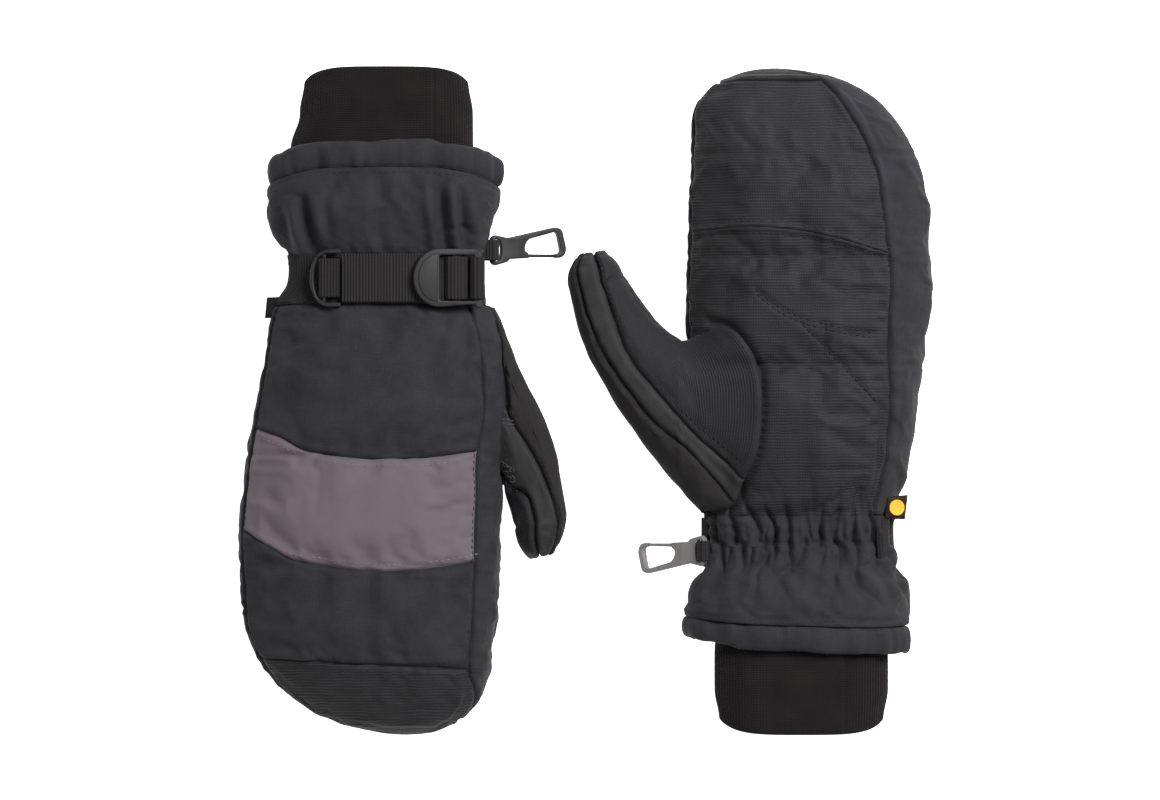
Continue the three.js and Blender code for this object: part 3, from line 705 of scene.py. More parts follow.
def stitches(runs, length=2.5, pitch=3.3, radius=THREAD):
    """Sewn thread: for each run of (places, outward directions), short raised stitches lying along it."""
    points, faces = [], []
    rings = ((-0.5, 0.15), (-0.34, 0.85), (0, 1.1), (0.34, 0.85), (0.5, 0.15))
    turns = np.radians(np.arange(6) * 60)
    for places, outward in runs:
        along = run_length(places)
        for index, mark in enumerate(np.arange(pitch / 2, along[-1], pitch)):
            middle = between(mark, along, places)
            tangent = between(min(mark + 0.8, along[-1]), along, places)
            tangent = tangent - between(max(mark - 0.8, 0), along, places)
            size = np.linalg.norm(tangent)
            if size < 1e-6:
                continue
            tangent /= size
            side = np.cross(tangent, between(mark, along, outward))
            side /= np.linalg.norm(side)
            out = np.cross(side, tangent)
            tangent = tangent + side * 0.10 * math.sin(3 + index * 2.4)
            start = len(points)
            for share, wide in rings:
                lift = radius * (0.75 - abs(share) * 1.3)
                for turn in turns:
                    x, y = math.cos(turn) * radius * wide, math.sin(turn) * radius * wide * 0.8 + lift
                    points.append(middle + tangent * share * length + (side * x + out * y))
            faces += [tuple(start + i for i in face) for face in grid_faces(len(rings), 6, wrap=True)]
            faces.append(tuple(start + i for i in (5, 4, 3, 2, 1, 0)))
            last = start + 6 * (len(rings) - 1)
            faces.append(tuple(last + i for i in range(6)))
    return np.array(points), faces


def run_over(hand, path, palm=False, lift=0.1, count=160):
    """Places along a smooth path of (u, v) points on the hand."""
    u, v = smooth_path(path, np.linspace(0, 1, count))
    places, out = hand.over(u, v, palm)
    return places + out * lift, out


def run_on(skin, along, angle, lift=0.1, count=400):
    """Places on a skin between two values along it and two angles."""
    places, out = skin.at(np.linspace(*along, count), np.linspace(*angle, count))
    return places + out * lift, out


# ---- Materials ----


class Shader:
    """A procedural material. Its patterns are laid out in millimetres, along the cloth or in space."""

    def __init__(self, name, cloth=True):
        self.material = bpy.data.materials.new(name)
        self.material.use_nodes = True
        self.tree = self.material.node_tree
        self.surface = self.tree.nodes["Principled BSDF"]
        where = self.node("ShaderNodeTexCoord")
        scaled = self.node("ShaderNodeVectorMath", operation="SCALE")
        self.tree.links.new(where.outputs["UV" if cloth else "Object"], scaled.inputs[0])
        scaled.inputs["Scale"].default_value = 1000
        self.place = scaled.outputs[0]

    def node(self, kind, **settings):
        made = self.tree.nodes.new(kind)
        for key, value in settings.items():
            setattr(made, key, value)
        return made

    def join(self, value, socket):
        if isinstance(value, bpy.types.NodeSocket):
            self.tree.links.new(value, socket)
        else:
            socket.default_value = value

    def stretched(self, scale):
        made = self.node("ShaderNodeMapping", vector_type="POINT")
        self.join(self.place, made.inputs["Vector"])
        made.inputs["Scale"].default_value = scale
        return made.outputs["Vector"]

    def noise(self, size, detail=2.0, stretch=None, distortion=0.0):
        made = self.node("ShaderNodeTexNoise")
        self.join(self.stretched(stretch) if stretch else self.place, made.inputs["Vector"])
        made.inputs["Scale"].default_value = 1 / size
        made.inputs["Detail"].default_value = detail
        made.inputs["Distortion"].default_value = distortion
        return made.outputs["Fac"]

    def rows(self, pitch, direction="X", distortion=0.0, detail_size=3.0):
        made = self.node("ShaderNodeTexWave", bands_direction=direction)
        self.join(self.place, made.inputs["Vector"])
        made.inputs["Scale"].default_value = math.pi / 10 / pitch
        made.inputs["Distortion"].default_value = distortion
        made.inputs["Detail Scale"].default_value = pitch / detail_size * 10 / math.pi
        return made.outputs["Fac"]

    def math(self, operation, a, b=0.0):
        made = self.node("ShaderNodeMath", operation=operation)
        for value, socket in zip((a, b), made.inputs):
            self.join(value, socket)
        return made.outputs[0]

    def ramp(self, value, low, high, to_low=0.0, to_high=1.0):
        made = self.node("ShaderNodeMapRange", clamp=True)
        for given, key in ((value, "Value"), (low, "From Min"), (high, "From Max"), (to_low, "To Min"),
                           (to_high, "To Max")):
            self.join(given, made.inputs[key])
        return made.outputs["Result"]

    def mix(self, factor, a, b):
        made = self.node("ShaderNodeMix", data_type="RGBA")
        self.join(factor, made.inputs["Factor"])
        for value, socket in ((a, made.inputs[6]), (b, made.inputs[7])):
            self.join(colour(value) if isinstance(value, tuple) else value, socket)
        return made.outputs[2]

    def finish(self, base, roughness, height=None, depth=0.1, sheen=0.0, specular=0.35):
        self.join(base, self.surface.inputs["Base Color"])
        self.join(roughness, self.surface.inputs["Roughness"])
        self.surface.inputs["Specular IOR Level"].default_value = specular
        self.surface.inputs["Sheen Weight"].default_value = sheen
        self.surface.inputs["Sheen Roughness"].default_value = 0.6
        if height is not None:
            bump = self.node("ShaderNodeBump")
            bump.inputs["Strength"].default_value = 1.0
            bump.inputs["Distance"].default_value = depth * MM
            self.join(height, bump.inputs["Height"])
            self.tree.links.new(bump.outputs["Normal"], self.surface.inputs["Normal"])
        return self.material


def colour(rgb):
    """An sRGB colour of 0 to 255 as the linear one that a shader takes."""
    return tuple((c / 255 / 12.92 if c <= 10 else ((c / 255 + 0.055) / 1.055) ** 2.4) for c in rgb) + (1.0,)


def woven(name, dark, light, pitch=0.85, slub=(11, 0.5), depth=0.07, roughness=0.82, sheen=0.02, cloth=True):
    """Plain-woven cloth with slubs: uneven thicker yarns that run both ways."""
    s = Shader(name, cloth)
    over, under = s.rows(pitch, "X", 0.5), s.rows(pitch, "Y", 0.5)
    weave = s.math("MAXIMUM", s.math("MULTIPLY", over, 0.9), under)
    long_slub = s.noise(slub[1], 1.0, (1 / slub[0], 1, 1))
    cross_slub = s.noise(slub[1], 1.0, (1, 1 / slub[0], 1))
    slubs = s.math("MAXIMUM", long_slub, cross_slub)
    cloudy = s.noise(16, 3.0)
    tone = s.math("ADD", s.math("MULTIPLY", s.ramp(slubs, 0.45, 0.8), 0.4),
                  s.math("MULTIPLY", s.ramp(cloudy, 0.3, 0.7), 0.6))
    base = s.mix(tone, dark, light)
    base = s.mix(s.ramp(weave, 0.25, 0.8, 0.22, 0.0), base, (8, 8, 9))
    height = s.math("ADD", s.math("MULTIPLY", weave, 0.6), s.math("MULTIPLY", slubs, 0.7))
    rough = s.ramp(cloudy, 0.3, 0.7, roughness - 0.07, roughness + 0.07)
    return s.finish(base, rough, height, depth, sheen, 0.12)


def embossed(name, dark, light, pitch=1.45, roughness=0.62):
    """Synthetic leather with a fine grid of small raised dots, polished where it rubs."""
    s = Shader(name)
    rows, columns = s.rows(pitch, "Y", 2.2, 7.0), s.rows(pitch * 0.85, "X", 2.0, 6.0)
    worn = s.noise(6, 3.0, (0.6, 1, 1))
    dots = s.math("MULTIPLY", s.ramp(rows, 0.35, 0.8), s.ramp(columns, 0.1, 0.7, 0.35, 1.0))
    height = s.math("MULTIPLY", dots, s.ramp(worn, 0.3, 0.62, 0.3, 1.0))
    grain = s.noise(0.45, 2.0)
    cloudy = s.noise(20, 3.0)
    base = s.mix(s.math("MULTIPLY", height, 0.8), dark, light)
    base = s.mix(s.ramp(cloudy, 0.35, 0.7, 0.0, 0.35), base, light)
    full = s.math("ADD", height, s.math("MULTIPLY", grain, 0.25))
    rough = s.ramp(height, 0, 1, roughness + 0.14, roughness - 0.04)
    return s.finish(base, rough, full, 0.22, 0.0, 0.3)


def suede(name, dark, light, grain=0.5, cloud=9, roughness=0.85, sheen=0.03, depth=0.06):
    """Brushed microfibre, mottled where its nap lies different ways."""
    s = Shader(name)
    nap, cloudy, patches = s.noise(grain, 3.0), s.noise(cloud, 4.0, distortion=0.6), s.noise(2.6, 2.0)
    tone = s.math("ADD", s.math("MULTIPLY", s.ramp(cloudy, 0.3, 0.7), 0.5),
                  s.math("ADD", s.math("MULTIPLY", nap, 0.3), s.math("MULTIPLY", patches, 0.2)))
    rough = s.ramp(cloudy, 0.3, 0.7, roughness - 0.08, roughness + 0.08)
    return s.finish(s.mix(tone, dark, light), rough, s.math("ADD", nap, patches), depth, sheen, 0.12)


def knitted(name, dark, light, sheen=0.04):
    """Rib knit: loops one above the other along each rib, with a soft fuzz."""
    s = Shader(name)
    loops, fuzz, cloudy = s.rows(1.15, "Y", 1.2), s.noise(0.35, 2.0), s.noise(18, 3.0)
    tone = s.math("ADD", s.math("MULTIPLY", loops, 0.35), s.math("MULTIPLY", s.ramp(cloudy, 0.3, 0.7), 0.5))
    height = s.math("ADD", loops, s.math("MULTIPLY", fuzz, 0.6))
    return s.finish(s.mix(tone, dark, light), s.ramp(fuzz, 0.3, 0.7, 0.85, 0.98), height, 0.18, sheen, 0.05)


def webbing(name, dark, light):
    """Narrow woven tape: yarn ribs across it, each broken by the lengthwise yarns."""
    s = Shader(name)
    across, along = s.rows(1.5, "X", 0.3), s.rows(1.1, "Y", 0.3)
    height = s.math("MULTIPLY", s.ramp(across, 0.1, 0.7), s.ramp(along, 0.0, 0.6, 0.45, 1.0))
    worn = s.noise(7, 3.0)
    base = s.mix(s.math("ADD", s.math("MULTIPLY", height, 0.6), s.math("MULTIPLY", worn, 0.4)), dark, light)
    return s.finish(base, s.ramp(worn, 0.3, 0.7, 0.72, 0.9), height, 0.22, 0.0, 0.15)


def moulded(name, dark, light, roughness=0.42):
    """Satin injection-moulded plastic with a fine eroded texture and faint flow marks."""
    s = Shader(name, cloth=False)
    grain, flow = s.noise(0.25, 2.0), s.noise(9, 3.0, (1, 0.4, 1), 0.8)
    base = s.mix(s.ramp(flow, 0.3, 0.7), dark, light)
    return s.finish(base, s.ramp(grain, 0.3, 0.7, roughness - 0.07, roughness + 0.1), grain, 0.03, 0.0, 0.25)


def fleecy(name, dark, light, size=1.2):
    """Brushed pile or loose fibre filling."""
    s = Shader(name, cloth=False)
    tufts, fibres = s.noise(size, 4.0, distortion=1.0), s.noise(size / 4, 3.0)
    tone = s.math("ADD", s.math("MULTIPLY", tufts, 0.6), s.math("MULTIPLY", fibres, 0.4))
    base = s.mix(s.ramp(tone, 0.3, 0.7), dark, light)
    return s.finish(base, s.ramp(fibres, 0, 1, 0.88, 1.0), tone, 0.5, 0.4, 0.15)


M = {
    "shell": woven("shell_cloth", (32, 32, 34), (49, 49, 52)),
    "palm": embossed("palm_leather", (16, 16, 18), (35, 35, 38)),
    "patch": suede("knuckle_suede", (89, 80, 85), (96, 87, 92)),
    "knit": knitted("rib_knit", (17, 15, 15), (31, 28, 28)),
    "thumb_back": suede("thumb_suede", (25, 24, 24), (43, 41, 41), roughness=0.88, sheen=0.0),
    "thumb_side": suede("thumb_leather", (29, 28, 29), (50, 49, 50), grain=0.35, roughness=0.66, sheen=0.0),
    "webbing": webbing("strap_webbing", (21, 20, 20), (43, 41, 41)),
    "elastic": webbing("elastic_tape", (22, 22, 23), (46, 46, 47)),
    "plastic": moulded("buckle_plastic", (26, 26, 27), (38, 38, 39), 0.5),
    "clip_right": moulded("black_clip_plastic", (26, 26, 27), (44, 44, 45)),
    # the left mitten's clip is the same black plastic as the right one; its grey base colour is a painted
    # reflection of the light
    "clip_left": moulded("clip_plastic_painted_reflection", (104, 101, 101), (126, 123, 123), 0.5),
    "label": woven("label_satin", (24, 15, 8), (44, 28, 16), 0.5, roughness=0.6),
    "mark": woven("label_thread", (206, 150, 34), (238, 186, 66), 0.6, roughness=0.55),
    "tag": woven("black_tag", (12, 12, 12), (30, 29, 28), 0.6, roughness=0.7),
    "thread": woven("sewing_thread", (24, 24, 25), (52, 51, 53), 0.7, cloth=False),
    "thread_tack": woven("tack_thread", (52, 52, 53), (88, 87, 88), 0.7, cloth=False),
    "thread_grey": woven("patch_thread", (84, 77, 81), (128, 120, 124), 0.7, cloth=False),
    "filling": fleecy("fibre_filling", (160, 157, 150), (205, 202, 194), 3.0),
    "lining": fleecy("fleece_lining", (30, 30, 32), (60, 60, 62)),
}


# ---- Shell of the hand ----


def seams_of(side, hand):
    """The curved seams of one mitten as limits for Cloth."""
    tip_v = FORMS[side]["tip"][1]

    def across(table, palm=False):
        nominal = float(np.mean([v for _, v in table]))

        def limit(angle):
            u = hand.bare(np.full(np.shape(angle), nominal), angle)[..., 0]
            return smooth_at(table, u)

        return limit

    def toward(angle, meeting):
        return lambda v: angle + (meeting - angle) * ease(tip_v - 34, tip_v - TIP_WRAP, v)

    return {
        "patch_start": across(PATCH_START),
        "patch_end": across(PATCH_END),
        "cap": across(CAP_SEAM),
        "flex": across(FLEX_SEAM),
        "tip": tip_v - 0.02,
        "palm_end": tip_v - TIP_WRAP,
        "index": toward(INDEX_SEAM, 6),
        "index_palm": toward(PALM_INDEX_SEAM - 360, -2),
        "palm_index": toward(PALM_INDEX_SEAM, 358),
        "pinky": toward(BACK_PINKY_SEAM, 172),
        "palm_pinky": lambda v: smooth_at(PALM_PINKY_SEAM, v),
    }


def shell(side, hand):
    """The outer panels of the hand, and the gauntlet."""
    seam = seams_of(side, hand)
    back = (seam["index"], seam["pinky"])
    palm = (seam["palm_pinky"], seam["palm_index"])
    cap = Cloth(hand, (seam["cap"], seam["tip"]), back, closes=True, sewn=(1, 0, 1, 1))
    turned = (seam["palm_pinky"], lambda v: seam["index"](v) + 360)
    wrap = Cloth(hand, (seam["palm_end"], seam["tip"]), turned, closes=True, sewn=(1, 0, 0, 0), step=1.0)
    sides = [(seam["index_palm"], seam["index"]), (seam["pinky"], seam["palm_pinky"])]
    rows = [
        ("back_panel", "shell", [Cloth(hand, (WRIST_SEAM, seam["patch_start"]), back)]),
        ("knuckle_patch", "patch", [Cloth(hand, (seam["patch_start"], seam["patch_end"]), back)]),
        ("finger_back_panel", "shell", [Cloth(hand, (seam["patch_end"], seam["cap"]), back)]),
        ("fingertip_cap", "palm", [cap, wrap]),
        ("index_side_gusset", "shell", [Cloth(hand, (WRIST_SEAM, seam["palm_end"]), sides[0])]),
        ("pinky_side_gusset", "shell",
         [Cloth(hand, (WRIST_SEAM, seam["tip"]), sides[1], closes=True, sewn=(1, 0, 1, 1))]),
        ("palm_panel", "palm",
         [Cloth(hand, (WRIST_SEAM, seam["flex"]), palm, step=0.9, sewn=(0, 0.6, 1, 1))]),
        ("palm_finger_panel", "palm",
         [Cloth(hand, (seam["flex"], seam["palm_end"]), palm, sewn=(0.6, 1, 1, 1))]),
    ]
    for name, slot, cloths in rows:
        points, faces, uv = merged(*(cloth.build() for cloth in cloths))
        obj = piece(name, side, points, faces, M[slot], uv=uv)
        stands_for(obj, side, name, slot=slot)
    sleeve = Cloth(hand, (FORMS[side]["hem_seam"], WRIST_SEAM), (9, 369), step=0.8, wrap=True,
                   sewn=(0.6, 0, 1, 1))
    points, faces, uv = sleeve.build()
    obj = piece("gauntlet", side, points, faces, M["shell"], uv=uv)
    stands_for(obj, side, "gauntlet", slot="shell")


def layers(side, hand, thumb):
    """What is inside: the filling, the linings and the elastic."""
    tip_v = FORMS[side]["tip"][1]
    for name, slot, skin, along, angles, depth, thick, wrap in (
        ("insulation", "filling", hand, (WRIST_SEAM + 1, tip_v - 3), (9, 369), 3.0, 3.4, True),
        ("lining", "lining", hand, (CUFF["end"] + 0.5, tip_v - 3), (9, 369), 7.0, 2.0, True),
        ("wrist_elastic", "elastic", hand, (-10, 10), (200, 340), 2.1, 1.0, False),
        ("thumb_lining", "lining", thumb, (0, 1.96), (9, 369), 2.6, 2.2, True),
    ):
        layer = Cloth(skin, along, angles, depth, step=3.0, wrap=wrap, sink=0)
        points, faces, uv = layer.build(thick)
        obj = piece(name, side, points, faces, M[slot], "thumb" if skin is thumb else "mitten", uv)
        stands_for(obj, side, name, slot=slot)


# ---- Thumb ----


def thumb_strips(side, thumb):
    """The four strips of the thumb, which bend at its root."""
    seam = {name: (lambda along, table=table: smooth_at(table, along)) for name, table in THUMB_SEAMS.items()}
    for name, slot, low, high, first in (
        ("thumb_pad_panel", "palm", seam["pad_back"], seam["pad_palm"], -1),
        ("thumb_palm_gusset", "thumb_side", seam["pad_palm"], seam["palm"], -1),
        ("thumb_back_panel", "thumb_back", seam["palm"], seam["back"], -1),
        ("thumb_back_gusset", "thumb_side", seam["back"], lambda along: seam["pad_back"](along) + 360, -0.9),
    ):
        strip = Cloth(thumb, (first, 1.97), (low, high), step=1.1, sink=1.1)
        points, faces, uv = strip.build(1.4)
        obj = piece(name, side, points, faces, M[slot], None, uv)
        bend_at_thumb(obj)
        stands_for(obj, side, name, slot=slot)


def bend_at_thumb(obj):
    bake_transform(obj)


# ---- Wrist and cuff ----


def ring(name, side, grid, around, along, slot):
    """A closed ring of cloth from rows of places round the wrist, whose last row joins the first."""
    rows, columns = grid.shape[:2]
    faces = grid_faces(rows, columns, wrap=True, flip=True)
    last = (rows - 1) * columns
    faces += [(j, (j + 1) % columns, last + (j + 1) % columns, last + j) for j in range(columns)]
    uv = np.stack(np.meshgrid(around, along), -1).reshape(-1, 2)
    obj = piece(name, side, grid.reshape(-1, 3), faces, M[slot], uv=uv)
    stands_for(obj, side, name, slot=slot)


def hem(side, hand):
    """The rolled and padded end of the gauntlet."""
    form = FORMS[side]
    seam, end = form["hem_seam"] - 0.3, form["hem_end"]
    profile = [(seam, 1.5), (seam - 0.5, 0.7), (seam - 1.6, -0.1), (seam - 3.6, -0.7), (seam - 6.5, -1.1),
               (end + 2.6, -0.8), (end + 0.8, 0.1), (end, 1.4), (end + 0.6, 2.9), (end + 3, 3.6),
               (seam - 4, 3.6), (seam - 0.6, 3.2)]
    turns = np.arange(0, 360, 0.75)
    rows = []
    for v, depth in profile:
        bare = hand.bare(np.full(turns.shape, float(v)), turns)
        out = hand.normal(np.full(turns.shape, float(v)), turns)
        pucker = lumps(bare * (1, 0.25, 1), 6.5, 21) + 0.6 * lumps(bare * (1, 0.2, 1), 3.2, 22)
        roll = lumps(bare * (1, 0, 1), 17, 23)
        free = (seam - v) / (seam - end)
        places = bare + out * (-depth + pucker * (1.5 - 0.6 * free) + 0.8 * roll)[:, None]
        places[:, 1] += free * (1.8 * roll + 1.0 * lumps(bare * (1, 0, 1), 6, 24))
        rows.append(places)
    grid = np.array(rows)
    ring("gauntlet_hem", side, grid, run_length(grid[4]), run_length(grid[:, 0]), "shell")


def knit_cuff(side):
    """Doubled rib knit: fine ribs along it, folded back inside at its end, with one seam."""
    form, skin = FORMS[side], Cuff(side)
    end, inside = form["cuff_end"], CUFF["end"]
    profile = [(v, 0.0) for v in np.linspace(inside, end + 1.6, 46)]
    profile += [(end + 0.7, 0.25), (end + 0.1, 0.8), (end, 1.4), (end + 0.3, 2.0), (end + 1.2, 2.3)]
    profile += [(v, CUFF["wall"]) for v in np.linspace(end + 4, inside, 16)]
    ribs = 132
    turns = np.linspace(0, 360, ribs * 5, endpoint=False)
    line = skin.bare(np.full(turns.shape, -80.0), turns)
    around = run_length(np.concatenate([line, line[:1]]))
    phase = around[:-1] / around[-1] * ribs
    rib = np.abs(np.sin(np.pi * phase)) ** 0.6
    seam_at = 245 if side == "left" else 60
    seam = np.exp(-(((turns - seam_at + 180) % 360 - 180) / 1.1) ** 2)
    rows = []
    for v, depth in profile:
        along = np.full(turns.shape, float(v))
        sag = 6 * ease(-60, end, along) * np.abs(np.cos(np.radians(turns))) ** 4
        places, out = skin.at(along, turns, depth)
        drawn = ease(18, 0, along - end) * 2.2 * np.abs(np.cos(np.radians(turns))) ** 2
        raise_by = (0.42 * rib - 0.5 * seam) * (1 if depth < 1 else -0.5) - drawn
        places = places + out * raise_by[:, None]
        if side == "right":
            places[:, 0] -= 4.5 * ease(-86, -66, along) * ease(0.1, 0.9, -np.cos(np.radians(turns)))
        places[:, 1] = along + sag
        rows.append(places)
    along = np.array([v if depth < 1.5 else 2 * end - v for v, depth in profile])
    ring("knit_cuff", side, np.array(rows), around[:-1], along, "knit")


# ---- Strap and hardware ----

WEB_WIDTH = 24
STRAP_RADIUS, STRAP_CROWN = 150, 20.1
BUCKLE = {"at": 30, "lift": 2, "tab": -16, "shoulder": -3, "end": 17.8, "half": 14.5, "rail": 3.2}


def tape(name, side, path, width, thick, slot, body="mitten", nodes=(), ridges=1.5, follows=None):
    """Webbing that follows (place, out) frames across the wrist, ribbed across its length. follows gives how
    far the surface under it rises away from the middle, for shares along it and distances across it."""
    places, outward = path
    along = run_length(places)
    marks = np.arange(0, along[-1], ridges / 4)
    centre, out = between(marks, along, places), between(marks, along, outward)
    out /= np.linalg.norm(out, axis=-1, keepdims=True)
    half = width / 2
    middle = np.linspace(-half + 0.8, half - 0.8, 15)
    across = np.concatenate([[-half, -half + 0.25], middle, [half - 0.25, half]])
    edge, selvedge = (np.concatenate([ends, 0 * middle, ends[::-1]]) for ends in ([0.45, 0.12], [0, 0.1]))
    rib = 0.13 * np.sin(2 * np.pi * marks / ridges)
    top = centre[:, None] + out[:, None] * (thick - edge + rib[:, None] + selvedge)[..., None]
    low = centre[:, None] + out[:, None] * (edge + 0 * rib[:, None])[..., None]
    for layer in (top, low):
        layer[..., 1] += across
        if follows:
            layer += follows((marks / along[-1])[:, None], across[None, :])
    uv = np.stack(np.meshgrid(across, marks, indexing="xy")[::-1], -1)
    points, faces, uv = closed_sheet(top, low, uv)
    obj = piece(name, side, points, [face[::-1] for face in faces], M[slot], body, uv)
    return stands_for(obj, side, *nodes, slot=slot)


def tilted(lean):
    """The x and z directions of something that leans over by an angle towards the thumb side."""
    return np.array([math.cos(lean), 0, -math.sin(lean)]), np.array([math.sin(lean), 0, math.cos(lean)])


def strap_frame(middle, across, lift):
    """Where a piece of hardware sits on the strap's cylinder: its place and its own x and z directions."""
    radius = STRAP_RADIUS + lift
    lean = math.asin(across / radius)
    place = np.array([middle + across, 0, STRAP_CROWN - STRAP_RADIUS + radius * math.cos(lean)])
    return place, *tilted(lean)


def plate(name, side, outlines, thick, frame_of, slot, body, nodes=(), bevel=0.55, low=0.0):
    """A moulded plate from flat outlines with rounded edges, raised along z in a frame of its own."""
    curve = bpy.data.curves.new(name, "CURVE")
    curve.dimensions = "2D"
    curve.fill_mode = "BOTH"
    curve.extrude = (thick / 2 - bevel) * MM
    curve.bevel_depth = bevel * MM
    curve.bevel_resolution = 3
    curve.offset = -bevel * MM
    for outline in outlines:
        spline = curve.splines.new("POLY")
        spline.points.add(len(outline) - 1)
        for point, (x, y) in zip(spline.points, outline):
            point.co = (x * MM, y * MM, 0, 1)
        spline.use_cyclic_u = True
    shape = bpy.data.objects.new(name, curve)
    bpy.context.scene.collection.objects.link(shape)
    bpy.context.view_layer.update()
    solid = bpy.data.meshes.new_from_object(shape.evaluated_get(bpy.context.evaluated_depsgraph_get()))
    bpy.data.objects.remove(shape)
    flat = np.array([v.co for v in solid.vertices]) / MM
    place, x, z = frame_of
    y = (0.0, 1.0, 0.0)
    high = flat[:, 2] + low + thick / 2
    points = place + np.outer(flat[:, 0], x) + np.outer(flat[:, 1], y) + np.outer(high, z)
    faces = [tuple(p.vertices) for p in solid.polygons]
    bpy.data.meshes.remove(solid)
    obj = piece(name, side, points, faces, M[slot], body, smooth=False)
    weld(obj)
    for polygon in obj.data.polygons:
        polygon.use_smooth = True
    obj.data.set_sharp_from_angle(angle=math.radians(40))
    if nodes:
        stands_for(obj, side, *nodes)
    return obj


def weld(obj):
    """Joins points that coincide, and turns all faces outwards."""
    mesh = bmesh.new()
    mesh.from_mesh(obj.data)
    bmesh.ops.remove_doubles(mesh, verts=mesh.verts, dist=2e-6)
    bmesh.ops.recalc_face_normals(mesh, faces=mesh.faces)
    mesh.to_mesh(obj.data)
    mesh.free()


def arc(middle, radii, start, end, count=24):
    turns = np.radians(np.linspace(start, end, count))
    return [(middle[0] + radii[0] * math.cos(t), middle[1] + radii[1] * math.sin(t)) for t in turns]


def curved(start, control, end, count):
    """Points along a quadratic curve."""
    return [tuple((1 - t) ** 2 * start + 2 * t * (1 - t) * control + t * t * end)
            for t in np.linspace(0, 1, count)]


def rounded(points, radius=0.8, steps=4):
    """A closed outline with its corners rounded."""
    out, count = [], len(points)
    for i in range(count):
        before, here, after = (np.array(points[(i + k) % count], float) for k in (-1, 0, 1))
        a, b = before - here, after - here
        la, lb = np.linalg.norm(a), np.linalg.norm(b)
        cut = min(radius, la / 2.2, lb / 2.2)
        out += curved(here + a / la * cut, here, here + b / lb * cut, steps)
    return out


def middle_of(side):
    """u of the middle of the wrist."""
    form = FORMS[side]
    return float(smooth_at(form["pinky_edge"], np.array([0.0]))[0]
                 + smooth_at(form["thumb_edge"], np.array([0.0]))[0]) / 2


def traced(*steps):
    """An outline from points and quadratic curves, each curve given as (control point, end point)."""
    out = []
    for step in steps:
        if isinstance(step[0], tuple):
            out += curved(np.array(out[-1]), *np.array(step, float), 9)[1:]
        else:
            out.append((float(step[0]), float(step[1])))
    return out


def strap(side, hand):
    """The webbing round the wrist, and its free end on top."""
    middle = middle_of(side)
    turns = np.linspace(14, 222, 600)
    places, out = hand.at(np.zeros(600), turns)
    steps = run_length(places)

    def rise(share, across):
        turn = np.interp(share, steps / steps[-1], turns) + 0 * across
        return (hand.bare(across + 0 * share, turn) - hand.bare(0 * turn, turn)) * (1, 0, 1)

    base = tape("strap_base", side, (places + out * 0.4, out), WEB_WIDTH, 1.5, "webbing",
                nodes=("strap_base",), follows=rise)
    leans = np.arcsin(np.linspace(-20.7, 40, 120) / STRAP_RADIUS)
    up = np.stack([np.sin(leans), 0 * leans, np.cos(leans)], -1)
    places = up * STRAP_RADIUS + (middle, 0, STRAP_CROWN - STRAP_RADIUS)
    tail = tape("strap_tail", side, (places, up), WEB_WIDTH, 1.5, "webbing", "strap_end", ("strap_tail",))


def in_frame(frame_of, xz):
    """Places of (x, z) points of a frame."""
    place, x, z = frame_of
    xz = np.asarray(xz, float)
    return place + np.outer(xz[:, 0], x) + np.outer(xz[:, 1], z)


def outward(path):
    """Directions square to a path in x and z, on its left."""
    step = np.gradient(np.asarray(path, float), axis=0)
    step /= np.linalg.norm(step, axis=-1, keepdims=True)
    return np.stack([-step[:, 1], step[:, 0]], -1)


def bent_tape(name, side, frame_of, path, width, thick, slot, body, node, ridges=1.5):
    """Webbing bent along a path of (x, z) places in a frame; its outside is on the path's left."""
    path = np.asarray(path, float)
    _, x, z = frame_of
    out = outward(path)
    frames = in_frame(frame_of, path), np.outer(out[:, 0], x) + np.outer(out[:, 1], z)
    return tape(name, side, frames, width, thick, slot, body, (node,), ridges)


def buckle(side):
    """The ladder-lock buckle with its half-round lifting tab, and the webbing threaded over its bar."""
    at = strap_frame(middle_of(side), BUCKLE["at"], BUCKLE["lift"])
    tab, shoulder, end, half, rail = (BUCKLE[key] for key in ("tab", "shoulder", "end", "half", "rail"))
    outer = rounded([(end + 0.9, -half - 0.6), (end + 0.9, half + 0.6), (end - 3, half)], 1.4)
    outer += arc((shoulder, 0), (shoulder - tab, half), 90, 270, 40) + [(end - 3, -half)]
    window = rounded([(shoulder + 0.2, rail - half), (end - 3, rail - half), (end - 3, half - rail),
                      (shoulder + 0.2, half - rail)], 1.2)
    plate("buckle", side, [outer, window], 3.2, at, "plastic", "buckle", ("buckle",), 0.75)
    x0 = shoulder - 0.9
    inset = [(x0, -half + 2.6), (x0, half - 2.6)]
    inset += arc((x0, 0), (x0 - tab - 2.4, half - 2.6), 90, 270, 32)[1:-1]
    plate("buckle_tab_face", side, [inset], 1.4, at, "plastic", "buckle", (), 0.5, 2.3)
    reach = half - rail + 0.5
    grip = rounded([(4, -reach), (8, -reach), (8, reach), (4, reach)])
    plate("buckle_grip_bar", side, [grip], 1.6, at, "plastic", "buckle", (), 0.45)
    t = np.linspace(0, 1, 60)
    arch = np.stack([10.7 - 9.3 * (3 * (1 - t) * t ** 2 + t ** 3), 3 * t * (1 - t) * 2.5 * 1.28 + 0.05], -1)
    threaded = bent_tape("threaded_web", side, at, arch[::-1], WEB_WIDTH - 2.6, 1.05, "webbing", "buckle",
                         "threaded_web")
    pin = np.array([16.3, 1.6])
    around = np.radians(np.linspace(-18, 292, 60))
    loop = pin + 2.62 * np.stack([np.cos(around), np.sin(around)], -1)
    leg = np.array([[17.5, -4.6], [18.0, -2.6], [18.5, -0.9]])
    anchor = bent_tape("buckle_anchor", side, at, np.concatenate([leg, loop])[::-1], WEB_WIDTH - 2.8, 1.1,
                       "webbing", "mitten", "buckle_anchor")


